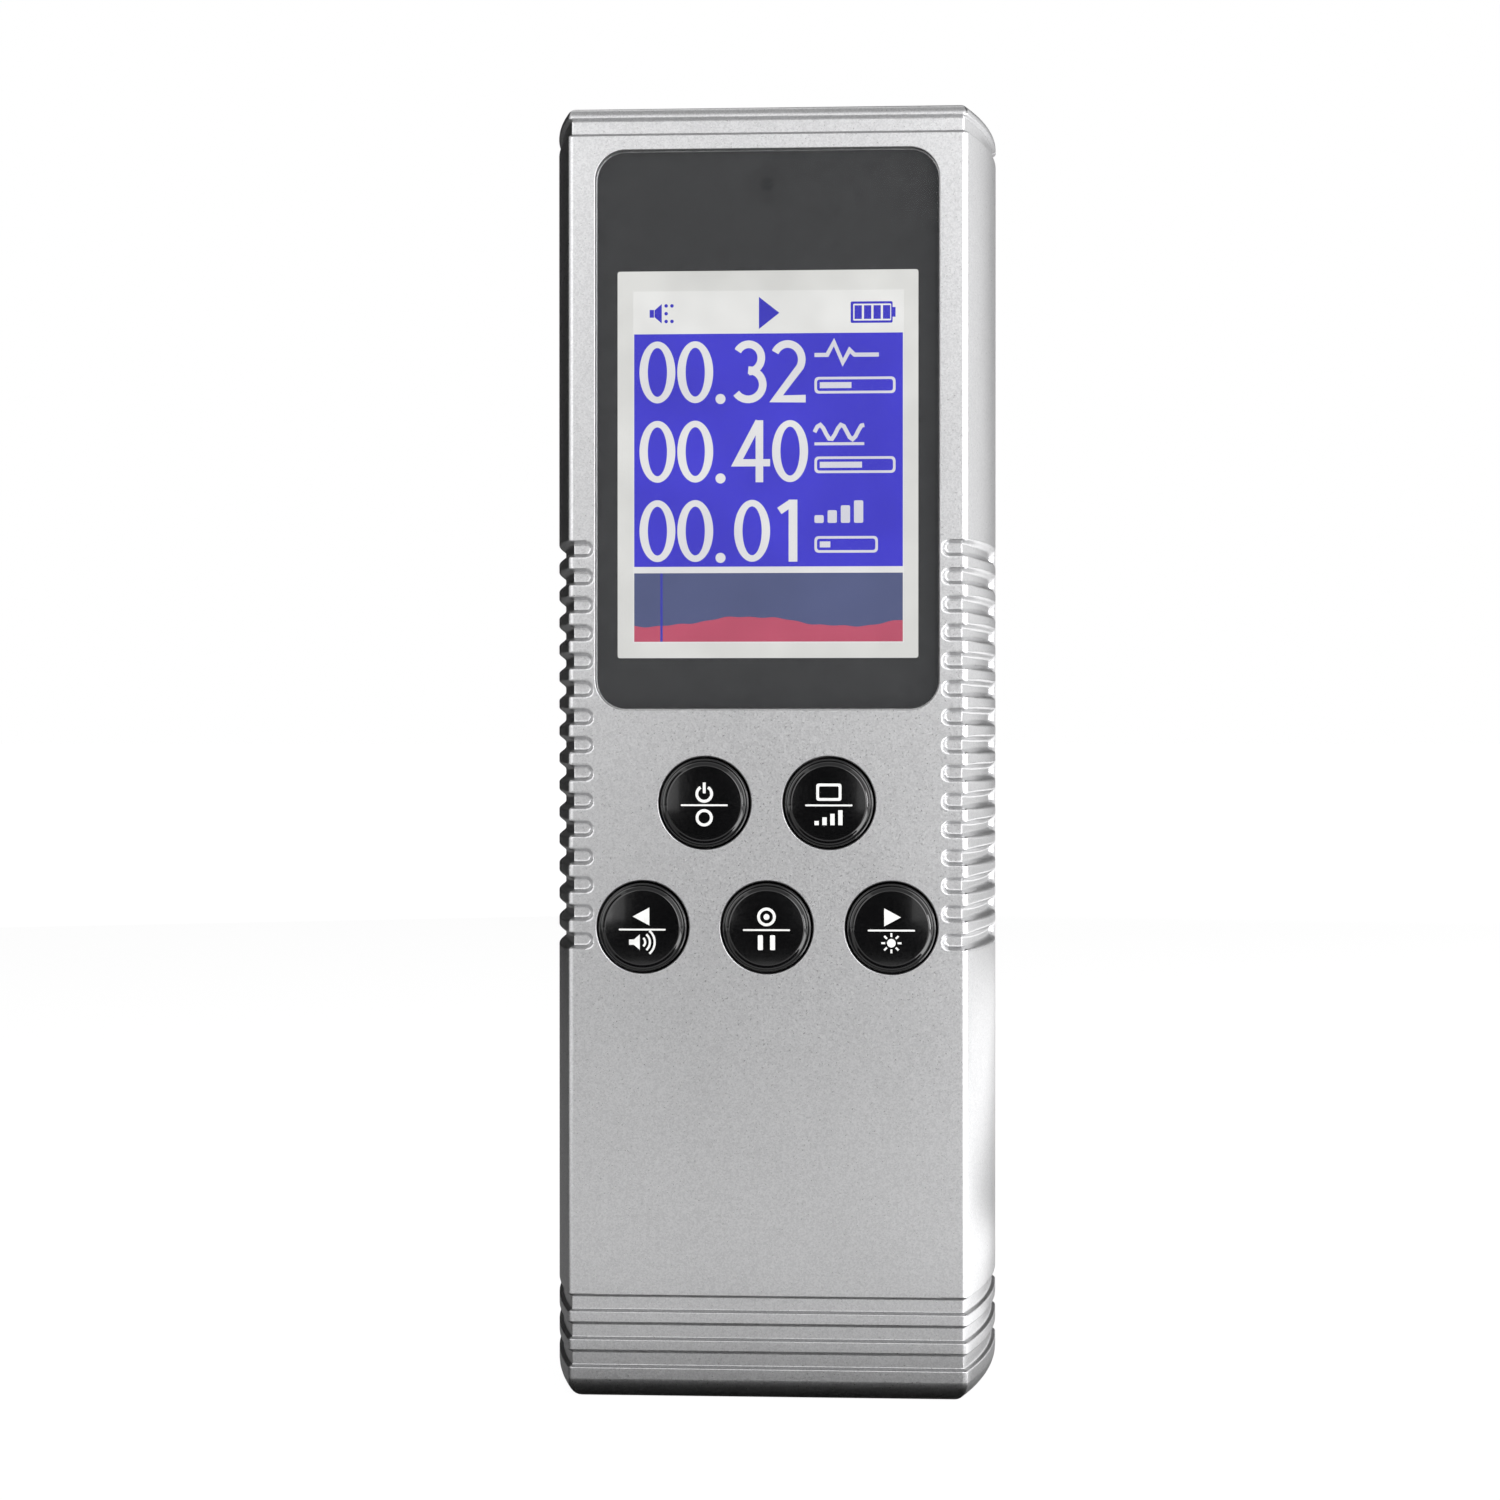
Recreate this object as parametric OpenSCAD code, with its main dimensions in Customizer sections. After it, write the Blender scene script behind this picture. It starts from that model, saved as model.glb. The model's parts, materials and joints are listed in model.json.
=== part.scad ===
// Hand-held radiation meter: two-part silver case, colour display behind a dark window,
// five round push buttons, ribbed side grips and a battery compartment in the back.
// It stands on its lower end: +Z is up, the front faces -Y, and the origin is under its middle.

/* [Body] */
// Height of the case, standing on its lower end
case_h = 132; // [131.5:0.1:134]
// Width of the case along its widest line
case_w = 46.9; // [46.6:0.1:48]
// Thickness of the case between its front and back faces
case_t = 28; // [28:0.1:29]
// Depth behind the front face at which the case is widest
widest_depth = 23; // [22.8:0.1:23.4]
// Radius of the bulging sides, seen from above
side_r = 88.2; // [86:0.1:92]
// Radius between the sides and the back
back_corner_r = 4; // [3.6:0.1:4.2]
// Radius round the edges of the top end
top_edge_r = 1; // [0.6:0.1:1.4]
// Radius round the edges of the bottom end
bottom_edge_r = 2; // [1.4:0.1:2.4]
// Thickness of the case walls
wall = 2; // [1.9:0.05:2.1]
// Depth behind the front face at which the two covers meet
parting_depth = 22.5; // [22.3:0.1:22.6]

/* [Grips and grooves] */
// Notches in each side grip
notch_count = 15; // [12:1:15]
// Distance from one notch to the next
notch_pitch = 2.86; // [2.7:0.02:2.9]
// Height of a notch
notch_h = 1.7; // [1.4:0.1:1.8]
// Depth of a notch
notch_depth = 0.7; // [0.4:0.1:0.8]
// Distance from the top end to the highest notch
notch_top_gap = 44.2; // [43:0.1:46]
// Distance from the middle of the front to the round ends of the notches
notch_reach = 17.8; // [17.7:0.1:18.4]
// Height of the grooves round the two ends
groove_h = 1.85; // [1.5:0.05:1.9]
// Depth of the grooves round the two ends
groove_depth = 0.45; // [0.3:0.05:0.6]

/* [Display] */
// Width of the window
window_w = 35; // [34.6:0.1:35.2]
// Height of the window
window_h = 57; // [56.6:0.1:57.2]
// Radius of the window's corners
window_corner_r = 3; // [2:0.1:3.5]
// Distance from the top end to the window
window_top_gap = 4.4; // [4:0.1:4.6]
// Width of the clear part of the window
aperture_w = 30.8; // [30:0.1:31]
// Height of the clear part of the window
aperture_h = 39.6; // [39:0.1:39.8]

/* [Buttons] */
// Diameter of a button
button_d = 9; // [8.6:0.1:9.1]
// Distance from one button to the next in a row, and from row to row
button_pitch = 12.7; // [12.5:0.1:12.8]
// How far a button stands out of the front face
button_proud = 0.8; // [0.4:0.1:1]
// Travel of a button
button_travel = 0.25; // [0.1:0.05:0.3]

/* [Battery compartment] */
// Diameter of a battery
cell_d = 10.5; // [10.2:0.1:10.5]
// Length of a battery with its positive end
cell_l = 44.5; // [44:0.1:44.6]
// Thickness of the battery door
door_t = 1.7; // [1.5:0.05:1.75]

/* [Hidden] */
$fn = 64;
big_fn = 256; // for the large radius of the sides
cut = 1; // how far a cutting shape runs past what it cuts
gap = 0.1; // room between pieces that lie close together

// Colours
silver = "silver";
smoke = [0.25, 0.25, 0.26];
jet = [0.04, 0.04, 0.045];
steel = [0.72, 0.73, 0.75];
board_green = [0.05, 0.3, 0.16];

// Places along the thickness, which the design counts as depths behind the front face
front_y = button_proud / 2 - case_t / 2;
function y_at(depth) = front_y + depth;
back_y = y_at(case_t);
widest_y = y_at(widest_depth);
parting_y = y_at(parting_depth);

// The circle that bulges one side is centred this far beyond the middle line
side_x = side_r - case_w / 2;
back_corner_y = back_y - back_corner_r;
back_corner_x = sqrt(pow(side_r - back_corner_r, 2) - pow(back_corner_y - widest_y, 2)) - side_x;

// Joint between the covers: a lip on the rear cover stands inside a rebate in the front cover
rebate_inset = 1.15;
lip_inset = 1.2;
lip_h = 1.2;

// Notches and grooves
notch_top_z = case_h - notch_top_gap - notch_h / 2;
groove_pitch = 2.86;
bottom_groove_z = 3.12;
top_groove_z = case_h - 2.9;
groove_zs = [for (i = [0:2]) bottom_groove_z + i * groove_pitch, top_groove_z];

// Window and display, from the front backwards
window_z1 = case_h - window_top_gap;
window_z0 = window_z1 - window_h;
aperture_top_gap = 12.2;
aperture_z1 = window_z1 - aperture_top_gap;
aperture_z0 = aperture_z1 - aperture_h;
window_sink = 0.05;
window_t = 0.95;
mask_t = 0.1;
adhesive_t = 0.15;
adhesive_margin = 0.3;
recess_depth = window_sink + window_t + mask_t + adhesive_t;
opening_margin = 0.4;
lcd_w = 32.4;
lcd_z0 = aperture_z0 - 0.9;
lcd_z1 = aperture_z1 + 1;
lcd_rim = 0.9;
lcd_floor = 0.4;
lcd_play = 0.1;
lcd_depth = wall + 0.05;
lcd_frame_t = 2.6;
lcd_glass_depth = lcd_depth + 0.1;
lcd_glass_t = 1;
lcd_backlight_depth = lcd_glass_depth + lcd_glass_t + 0.05;
lcd_back_depth = lcd_depth + lcd_frame_t;
led_z = window_z1 - 3.4;
led_hole_r = 2.2;
led_r = 1.5;

// Main board and its switches
board_depth = 7.4;
board_t = 1.6;
board_back_depth = board_depth + board_t;
board_w = 38;
board_z0 = 36;
board_z1 = case_h - 4.5;
switch_w = 6;
switch_h = 3.5;
switch_depth = board_depth - switch_h;
plunger_r = 1.75;
plunger_depth = 3;
plunger_l = 1.9;
cap_flange_r = 5.5;
cap_flange_t = 0.8;
cap_hole_play = 0.2;

// The display's ribbon: down from the glass, back, and down again into its connector
flex_w = 12;
flex_t = 0.15;
flex_front_depth = lcd_glass_depth + 0.4;
flex_bend_r = 1;
flex_level_z = lcd_z0 - 4;
connector_z1 = flex_level_z - 1.9;
connector_h = 3;
connector_t = 1.6;
flex_back_depth = board_depth - connector_t / 2;

// Buttons: two in the upper row and three in the lower
upper_row_z = window_z0 - 9.6;
lower_row_z = upper_row_z - button_pitch;
power_at = [-button_pitch / 2, upper_row_z];
display_at = [button_pitch / 2, upper_row_z];
left_at = [-button_pitch, lower_row_z];
centre_at = [0, lower_row_z];
right_at = [button_pitch, lower_row_z];
button_places = [power_at, display_at, left_at, centre_at, right_at];

// Screws: four through the rear cover into posts, four through the board
post_r = 3;
post_x = 15.5;
post_z0 = 7.5;
post_z1 = case_h - 8.5;
post_places = [
  for (side = [-1, 1], z = [post_z0, post_z1]) [side * post_x, z]
];
post_end_depth = parting_depth - 0.2;
post_hole_r = 1;
post_hole_l = 11;
screw_slip = 0.02;
screw_clear_r = 1.3;
case_screw_head_r = 2.3;
case_screw_head_t = 1.7;
case_screw_head_depth = case_t - 2.8;
case_screw_l = 12;
board_post_r = 2.2;
board_post_x = 16.5;
board_screw_places = [
  for (side = [-1, 1], z = [board_z0 + 2.5, window_z0 - 1.1]) [side * board_post_x, z]
];
board_screw_head_r = 1.9;
board_screw_head_t = 1.3;
board_screw_l = 5;

// Battery compartment
cell_r = cell_d / 2;
cell_pitch = 10.9;
bay_play = 0.3;
bay_x = cell_pitch + cell_r + bay_play + 0.15;
bay_wall = 1.2;
bay_z0 = 14;
bay_z1 = bay_z0 + cell_l + 6.5;
door_gap = 0.3;
door_depth = case_t - door_t;
door_x = bay_x + 1.7;
door_z0 = bay_z0 - 1.7;
door_z1 = bay_z1 + 1.7;
ledge_t = 1.4;
ledge_margin = 1;
door_rest_depth = door_depth - gap;
cell_depth = door_rest_depth - 0.25 - cell_r;
bay_floor_depth = cell_depth - cell_r - bay_play - bay_wall;
hinge_r = door_t / 2;
hinge_z = door_z0 + hinge_r;
hinge_depth = case_t - hinge_r;
tab_x = 8;
tab_w = 5;
tab_t = 0.9;
tab_drop = 2.1;
tab_slot_depth = 23;
latch_w = 8;
latch_t = 1.3;
scoop_r = 7.5;
scoop_rise = 6;
scoop_z = door_z1 + 2.3;
door_groove_count = 4;
door_groove_pitch = 2.2;
door_groove_z1 = door_z1 - 7.2;
door_groove_h = 0.9;
door_groove_depth = 0.4;
contact_t = 0.4;
contact_depth0 = cell_depth - 3.2;
contact_depth1 = 22.9;
contact_bridge_depth = cell_depth - 0.8;
contact_half = 3.5;
spring_r0 = 3;
spring_r1 = 2;
spring_wire_r = 0.3;
spring_turns = 3.5;

// Sensor tube, standing behind the board
tube_x = -7.8;
tube_depth = 16.4;
tube_r = 5;
tube_wall = 0.8;
tube_z0 = 70.2;
tube_l = 49;
tube_cap_l = 6;
tube_cap_r = 5.3;
tube_cap_inner_r = 5.05;
clip_inner_r = 5.35;
clip_outer_r = 5.75;
clip_l = 4;
clip_offset = 1;

// Parts on the back of the board
buzzer_at = [9, case_h - 19];
buzzer_r = 6;
buzzer_h = 6;
buzzer_wall = 0.8;
coil_at = [12.5, 92];
coil_r = 4.5;
coil_h = 6;
coil_flange_t = 1;
sound_hole_r = 0.75;
sound_hole_ring = 3;
microcontroller_at = [10, 78];
regulator_at = [-12.5, 56];
crystal_z = 50;
film_capacitor_at = [3, 74];
film_capacitor_pitch = 9.5;
filter_capacitor_at = [11, case_h - 29];
resistor_at = [5, 58];
resistor_pitch = [2.8, 4.6];

// Direction that no wire runs along, used to set out the sides of its outline
wire_reference = [0.8, 0.35, 0.48];
red_wire_path = [
  [-11, y_at(21), bay_z1 + gap], [-11, y_at(21), bay_z1 + 1.6], [-12.4, y_at(20.2), bay_z1 + 2.6],
  [-15.4, y_at(17.4), bay_z1 + 3], [-16.6, y_at(13.4), bay_z1 + 2.4],
  [-15.6, y_at(11), bay_z1 + 0.8], [-15.4, y_at(board_back_depth + gap), bay_z1 + 0.6]
];
black_wire_path = [
  [11, y_at(19), bay_z0 - gap], [11, y_at(19), bay_z0 - 2], [13, y_at(18.6), bay_z0 - 2.7],
  [15.8, y_at(18.3), bay_z0 - 2.6], [18.3, y_at(18), bay_z0 - 2.6], [19.5, y_at(17.6), bay_z0 - 0.4],
  [19.6, y_at(17), bay_z0 + 5], [19.4, y_at(15.6), bay_z0 + 14], [18.2, y_at(12.6), bay_z0 + 23],
  [16.2, y_at(11), bay_z0 + 28.8], [16, y_at(board_back_depth + gap), bay_z0 + 29]
];
wire_r = 0.6;

// ---------- shared shapes ----------

// A rod along the thickness, from one depth to another, at [x, z]
module rod(place, depth0, depth1, r) {
  translate([place.x, y_at(depth0), place.y])
    rotate([-90, 0, 0])
      cylinder(h = depth1 - depth0, r = r);
}

// A block between two corners given as [x, depth, z]
module block(low, high) {
  translate([low.x, y_at(low.y), low.z])
    cube([high.x - low.x, high.y - low.y, high.z - low.z]);
}

// A flat shape drawn as [x, z] and given thickness from one depth to another
module plate(depth0, depth1) {
  translate([0, y_at(depth1), 0])
    rotate([90, 0, 0])
      linear_extrude(depth1 - depth0)
        children();
}

// A shape drawn as [y, z] and drawn out along X, centred on the middle plane
module drawn_along_x(width) {
  translate([-width / 2, 0, 0])
    rotate([90, 0, 90])
      linear_extrude(width)
        children();
}

// A rectangle with true round corners, centred across X, between two heights
module round_rectangle(width, z0, z1, r) {
  union() {
    translate([-width / 2 + r, z0])
      square([width - 2 * r, z1 - z0]);
    translate([-width / 2, z0 + r])
      square([width, z1 - z0 - 2 * r]);
    for (side = [-1, 1], z = [z0 + r, z1 - r])
      translate([side * (width / 2 - r), z])
        circle(r);
  }
}

function unit(v) = v / norm(v);

// A point on the smooth curve between b and c, with a before them and d after
function between(a, b, c, d, t) =
  0.5 * (2 * b + (c - a) * t + (2 * a - 5 * b + 4 * c - d) * t * t
    + (3 * b - a - 3 * c + d) * t * t * t);

// A smooth curve through a list of points
function curve_through(p, steps) = [
  for (i = [0:len(p) - 2], s = [0:steps - 1])
    between(p[max(i - 1, 0)], p[i], p[i + 1], p[min(i + 2, len(p) - 1)], s / steps),
  p[len(p) - 1]
];

function heading(p, i) = unit(p[min(i + 1, len(p) - 1)] - p[max(i - 1, 0)]);

// A round wire along a path of points
module round_wire(path, r, reference = wire_reference, sides = 8) {
  rings = len(path);
  points = [
    for (i = [0:rings - 1])
      let (t = heading(path, i), u = unit(cross(t, reference)), v = cross(t, u))
        for (s = [0:sides - 1])
          path[i] + r * (cos(360 * s / sides) * u + sin(360 * s / sides) * v)
  ];
  sleeve = [
    for (i = [0:rings - 2], s = [0:sides - 1])
      let (a = i * sides, b = a + sides, n = (s + 1) % sides)
        [a + s, b + s, b + n, a + n]
  ];
  first_end = [for (s = [0:sides - 1]) s];
  last_end = [for (s = [sides - 1:-1:0]) (rings - 1) * sides + s];
  polyhedron(points, concat([first_end], sleeve, [last_end]));
}

// ---------- case ----------

// Outline of the case seen from above, drawn in by an inset, with sharp back corners
module sharp_outline(inset) {
  intersection() {
    translate([-side_x, widest_y])
      circle(side_r - inset, $fn = big_fn);
    translate([side_x, widest_y])
      circle(side_r - inset, $fn = big_fn);
    translate([-case_w, front_y + inset])
      square([2 * case_w, case_t - 2 * inset]);
  }
}

// What the rounding takes off the right back corner of the outline
module back_corner_waste(inset) {
  centre = [back_corner_x, back_corner_y];
  far = 3 * back_corner_r;
  outwards = unit(centre - [-side_x, widest_y]);
  difference() {
    polygon([centre, centre + [0, far], centre + [far, far], centre + far * outwards]);
    translate(centre)
      circle(back_corner_r - inset);
  }
}

module outline(inset) {
  difference() {
    sharp_outline(inset);
    back_corner_waste(inset);
    mirror([1, 0])
      back_corner_waste(inset);
  }
}

// What a rounding of radius r takes off a corner that points along +X and +Y
module corner_waste(r) {
  difference() {
    square(r + cut);
    circle(r);
  }
}

// The case's height by a width, with its ends' edges rounded
module end_rounded(width) {
  difference() {
    translate([-width / 2, 0])
      square([width, case_h]);
    for (side = [0, 1])
      mirror([side, 0]) {
        translate([width / 2 - top_edge_r, case_h - top_edge_r])
          corner_waste(top_edge_r);
        translate([width / 2 - bottom_edge_r, bottom_edge_r])
          mirror([0, 1])
            corner_waste(bottom_edge_r);
      }
  }
}

module case_blank() {
  intersection() {
    linear_extrude(case_h)
      outline(0);
    translate([0, (front_y + back_y) / 2, 0])
      drawn_along_x(2 * case_w)
        end_rounded(case_t);
    plate(-cut, case_t + cut)
      end_rounded(case_w);
  }
}

// The hollow inside the two covers
module case_hollow(inset = wall) {
  translate([0, 0, inset])
    linear_extrude(case_h - 2 * inset)
      sharp_outline(inset);
}

// Grooves round the two ends: they cross the front and both sides, and leave the back flat
module end_grooves() {
  difference() {
    for (z = groove_zs)
      block([-case_w, -cut, z], [case_w, case_t + cut, z + groove_h]);
    linear_extrude(case_h)
      outline(groove_depth);
    block([-back_corner_x, parting_depth, -cut], [back_corner_x, case_t + 2 * cut, case_h + cut]);
  }
}

// Outline of the notches of the right grip, seen from the front: slots with one round end
module notch_outlines() {
  for (i = [0:notch_count - 1])
    translate([notch_reach + notch_h / 2, notch_top_z - i * notch_pitch]) {
      circle(notch_h / 2);
      translate([0, -notch_h / 2])
        square([case_w / 2, notch_h]);
    }
}

module grip_notches() {
  difference() {
    plate(-cut, case_t - back_corner_r) {
      notch_outlines();
      mirror([1, 0])
        notch_outlines();
    }
    linear_extrude(case_h)
      sharp_outline(notch_depth);
  }
}

module half_blank(depth0, depth1) {
  intersection() {
    case_blank();
    block([-case_w, depth0, -cut], [case_w, depth1, case_h + cut]);
  }
}

// Hole through the front cover behind the window, which the display looks out of
module display_opening(depth0, depth1) {
  block(
    [-aperture_w / 2 - opening_margin, depth0, aperture_z0 - opening_margin],
    [aperture_w / 2 + opening_margin, depth1, aperture_z1 + opening_margin]
  );
}

module front_cover() {
  color(silver)
    difference() {
      union() {
        difference() {
          half_blank(-cut, parting_depth);
          case_hollow();
        }
        for (place = post_places)
          rod(place, wall - cut / 2, post_end_depth, post_r);
        for (place = board_screw_places)
          rod(place, wall - cut / 2, board_depth, board_post_r);
        for (side = [-1, 1])
          display_rib(side);
      }
      end_grooves();
      grip_notches();
      plate(-cut, recess_depth)
        round_rectangle(window_w + 2 * gap, window_z0 - gap, window_z1 + gap, window_corner_r + gap);
      display_opening(0, wall + cut);
      rod([0, led_z], 0, wall + cut, led_hole_r);
      for (place = button_places)
        rod(place, -cut, wall + cut / 2, button_d / 2 + cap_hole_play);
      for (place = post_places)
        rod(place, post_end_depth - post_hole_l, post_end_depth + cut, post_hole_r);
      for (place = board_screw_places)
        rod(place, board_depth - board_screw_l + board_t, board_depth + cut, post_hole_r);
      rebate();
    }
}

// A rib beside the display, which keeps it in line with its opening
module display_rib(side) {
  rib_t = 1;
  rib_x = lcd_w / 2 + lcd_play + lcd_rim + gap;
  rib_low = aperture_z0 + 4;
  rib_high = aperture_z1 - 4;
  low_x = side > 0 ? rib_x : -rib_x - rib_t;
  block([low_x, wall - cut / 2, rib_low], [low_x + rib_t, lcd_back_depth, rib_high]);
}

module rebate() {
  intersection() {
    case_hollow(rebate_inset);
    block([-case_w, parting_depth - lip_h - gap, 0], [case_w, parting_depth + cut, case_h]);
  }
}

module lip() {
  difference() {
    intersection() {
      case_hollow(lip_inset);
      block([-case_w, parting_depth - lip_h, 0], [case_w, parting_depth + cut / 2, case_h]);
    }
    case_hollow();
  }
}

// ---------- rear cover ----------

module bay_blank() {
  block(
    [-bay_x - bay_wall, bay_floor_depth, bay_z0 - bay_wall],
    [bay_x + bay_wall, door_rest_depth, bay_z1 + bay_wall]
  );
}

// Three troughs for the batteries, which open into one space under the door
module bay_hollow() {
  for (i = [-1:1])
    translate([i * cell_pitch, y_at(cell_depth), bay_z0])
      cylinder(h = bay_z1 - bay_z0, r = cell_r + bay_play);
  block([-bay_x, cell_depth, bay_z0], [bay_x, case_t + cut, bay_z1]);
}

// The thickened rim that the door rests on
module door_ledge() {
  block(
    [-door_x - door_gap - ledge_margin, door_rest_depth - ledge_t, door_z0 - door_gap - ledge_margin],
    [door_x + door_gap + ledge_margin, case_t - wall + cut / 2, door_z1 + door_gap + ledge_margin]
  );
}

module door_opening() {
  block(
    [-door_x - door_gap, door_rest_depth, door_z0 - door_gap],
    [door_x + door_gap, case_t + cut, door_z1 + door_gap]
  );
}

// Slots that the door's two tabs turn in
module tab_slots() {
  for (side = [-1, 1])
    block(
      [side * tab_x - tab_w / 2 - door_gap, tab_slot_depth, door_z0 - tab_drop - door_gap],
      [side * tab_x + tab_w / 2 + door_gap, door_rest_depth + gap, bay_z0 + gap]
    );
}

// Space for the latch at the door's upper edge
module latch_slot() {
  block(
    [-latch_w / 2 - door_gap, door_rest_depth - latch_t - door_gap, bay_z1 - gap],
    [latch_w / 2 + door_gap, door_rest_depth + gap, door_z1 + door_gap]
  );
}

module finger_scoop() {
  translate([0, back_y + scoop_rise, scoop_z])
    sphere(scoop_r);
}

module sound_holes() {
  rod(buzzer_at, case_t - wall - cut, case_t + cut, sound_hole_r);
  for (a = [0:60:300])
    rod(buzzer_at + sound_hole_ring * [cos(a), sin(a)], case_t - wall - cut, case_t + cut, sound_hole_r);
}

module rear_cover() {
  color(silver)
    difference() {
      union() {
        difference() {
          half_blank(parting_depth, case_t + cut);
          case_hollow();
        }
        lip();
        bay_blank();
        door_ledge();
        for (place = post_places)
          rod(place, parting_depth, case_t - wall + cut / 2, post_r);
      }
      end_grooves();
      grip_notches();
      bay_hollow();
      door_opening();
      tab_slots();
      latch_slot();
      finger_scoop();
      sound_holes();
      for (place = post_places) {
        rod(place, parting_depth - cut, case_t, screw_clear_r);
        rod(place, case_screw_head_depth, case_t + cut, case_screw_head_r + 2 * gap);
      }
      wire_holes();
    }
}

// Holes in the end walls of the compartment that the battery wires leave by
module wire_holes() {
  hole_r = wire_r + 2 * gap;
  translate([red_wire_path[0].x, red_wire_path[0].y, bay_z1 - cut / 2])
    cylinder(h = bay_wall + cut, r = hole_r);
  translate([black_wire_path[0].x, black_wire_path[0].y, bay_z0 - bay_wall - cut / 2])
    cylinder(h = bay_wall + cut, r = hole_r);
}

// ---------- battery door ----------

module battery_door() {
  color(silver)
    difference() {
      union() {
        block([-door_x, door_depth, hinge_z], [door_x, case_t, door_z1]);
        translate([-door_x, y_at(hinge_depth), hinge_z])
          rotate([0, 90, 0])
            cylinder(h = 2 * door_x, r = hinge_r);
        for (side = [-1, 1])
          door_tab(side * tab_x);
        block(
          [-latch_w / 2, door_rest_depth - latch_t, bay_z1 + door_gap],
          [latch_w / 2, door_depth + gap, door_z1 - gap]
        );
      }
      door_grooves();
      finger_scoop();
    }
}

// Lines across the door that give a fingertip its grip
module door_grooves() {
  for (i = [0:door_groove_count - 1]) {
    z = door_groove_z1 - i * door_groove_pitch;
    block([-latch_w, case_t - door_groove_depth, z], [latch_w, case_t + cut, z + door_groove_h]);
  }
}

// A tab that hooks inside the rear cover below the door
module door_tab(x) {
  tab_depth1 = case_t - wall - gap;
  block(
    [x - tab_w / 2, tab_depth1 - tab_t, door_z0 - tab_drop],
    [x + tab_w / 2, tab_depth1, hinge_z + 0.6]
  );
  block(
    [x - tab_w / 2, tab_depth1 - tab_t, hinge_z - 0.2],
    [x + tab_w / 2, door_depth + gap, hinge_z + 0.6]
  );
}

// ---------- window and display ----------

module window_outline(margin = 0) {
  round_rectangle(window_w - 2 * margin, window_z0 + margin, window_z1 - margin, window_corner_r - margin);
}

module aperture_outline(margin = 0) {
  translate([-aperture_w / 2 - margin, aperture_z0 - margin])
    square([aperture_w + 2 * margin, aperture_h + 2 * margin]);
}

module display_window() {
  color([0.8, 0.85, 0.9, 0.35])
    plate(window_sink, window_sink + window_t)
      window_outline();
}

module window_mask() {
  color(smoke)
    plate(window_sink + window_t, window_sink + window_t + mask_t)
      difference() {
        window_outline();
        aperture_outline();
      }
}

module window_adhesive() {
  color("dimgray")
    plate(recess_depth - adhesive_t, recess_depth)
      difference() {
        window_outline(adhesive_margin);
        aperture_outline(opening_margin + adhesive_margin);
        translate([0, led_z])
          circle(led_hole_r);
      }
}

module lcd_frame() {
  inner_x = lcd_w / 2 + lcd_play;
  inner_z0 = lcd_z0 - lcd_play;
  inner_z1 = lcd_z1 + lcd_play;
  color("white")
    difference() {
      block(
        [-inner_x - lcd_rim, lcd_depth, inner_z0 - lcd_rim],
        [inner_x + lcd_rim, lcd_back_depth, inner_z1 + lcd_rim]
      );
      block([-inner_x, lcd_depth - cut, inner_z0], [inner_x, lcd_back_depth - lcd_floor, inner_z1]);
      block(
        [-flex_w / 2 - gap, lcd_depth - cut, inner_z0 - lcd_rim - cut],
        [flex_w / 2 + gap, flex_front_depth + flex_t + gap, inner_z0 + gap]
      );
    }
}

module lcd_glass() {
  color("lavender")
    block([-lcd_w / 2, lcd_glass_depth, lcd_z0], [lcd_w / 2, lcd_glass_depth + lcd_glass_t, lcd_z1]);
}

module lcd_backlight() {
  color("ivory")
    block([-lcd_w / 2, lcd_backlight_depth, lcd_z0], [lcd_w / 2, lcd_back_depth - lcd_floor - gap, lcd_z1]);
}

// A quarter of a ring, in the corner towards +X and +Y
module quarter_bend() {
  intersection() {
    difference() {
      circle(flex_bend_r);
      circle(flex_bend_r - flex_t);
    }
    square(flex_bend_r + cut);
  }
}

module lcd_flex() {
  upper_y = y_at(flex_front_depth) + flex_bend_r;
  lower_y = y_at(flex_back_depth) + flex_t - flex_bend_r;
  color("darkgoldenrod")
    drawn_along_x(flex_w) {
      translate([y_at(flex_front_depth), flex_level_z])
        square([flex_t, lcd_z0 - flex_level_z]);
      translate([upper_y, flex_level_z])
        rotate(180)
          quarter_bend();
      translate([upper_y, flex_level_z - flex_bend_r])
        square([lower_y - upper_y, flex_t]);
      translate([lower_y, flex_level_z - 2 * flex_bend_r + flex_t])
        quarter_bend();
      translate([y_at(flex_back_depth), connector_z1])
        square([flex_t, flex_level_z - 2 * flex_bend_r + flex_t - connector_z1]);
    }
}

module lcd_cushion() {
  cushion_margin = 2;
  color("dimgray")
    block(
      [-lcd_w / 2 + cushion_margin, lcd_back_depth + gap / 2, lcd_z0 + cushion_margin],
      [lcd_w / 2 - cushion_margin, board_depth - gap / 2, lcd_z1 - cushion_margin]
    );
}

// ---------- buttons and switches ----------

// A cap turned about its own axis: a stepped face, a round body and a flange inside the cover
module button_cap(place) {
  r = button_d / 2;
  face_r = r - 0.8;
  step = 0.25;
  bevel = 0.2;
  flange_front = wall + gap;
  flange_back = flange_front + cap_flange_t;
  color(jet)
    translate([place.x, y_at(0), place.y])
      rotate([-90, 0, 0])
        rotate_extrude()
          polygon([
            [0, -button_proud],
            [face_r - bevel, -button_proud],
            [face_r, -button_proud + step],
            [r - bevel, -button_proud + step],
            [r, -button_proud + step + bevel],
            [r, flange_front],
            [cap_flange_r, flange_front],
            [cap_flange_r, flange_back],
            [0, flange_back]
          ]);
}

module switch_plunger(place) {
  color("dimgray")
    union() {
      rod(place, plunger_depth, plunger_depth + plunger_l, plunger_r);
      rod(place, wall + gap + cap_flange_t, plunger_depth + gap, plunger_r / 2);
    }
}

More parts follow.
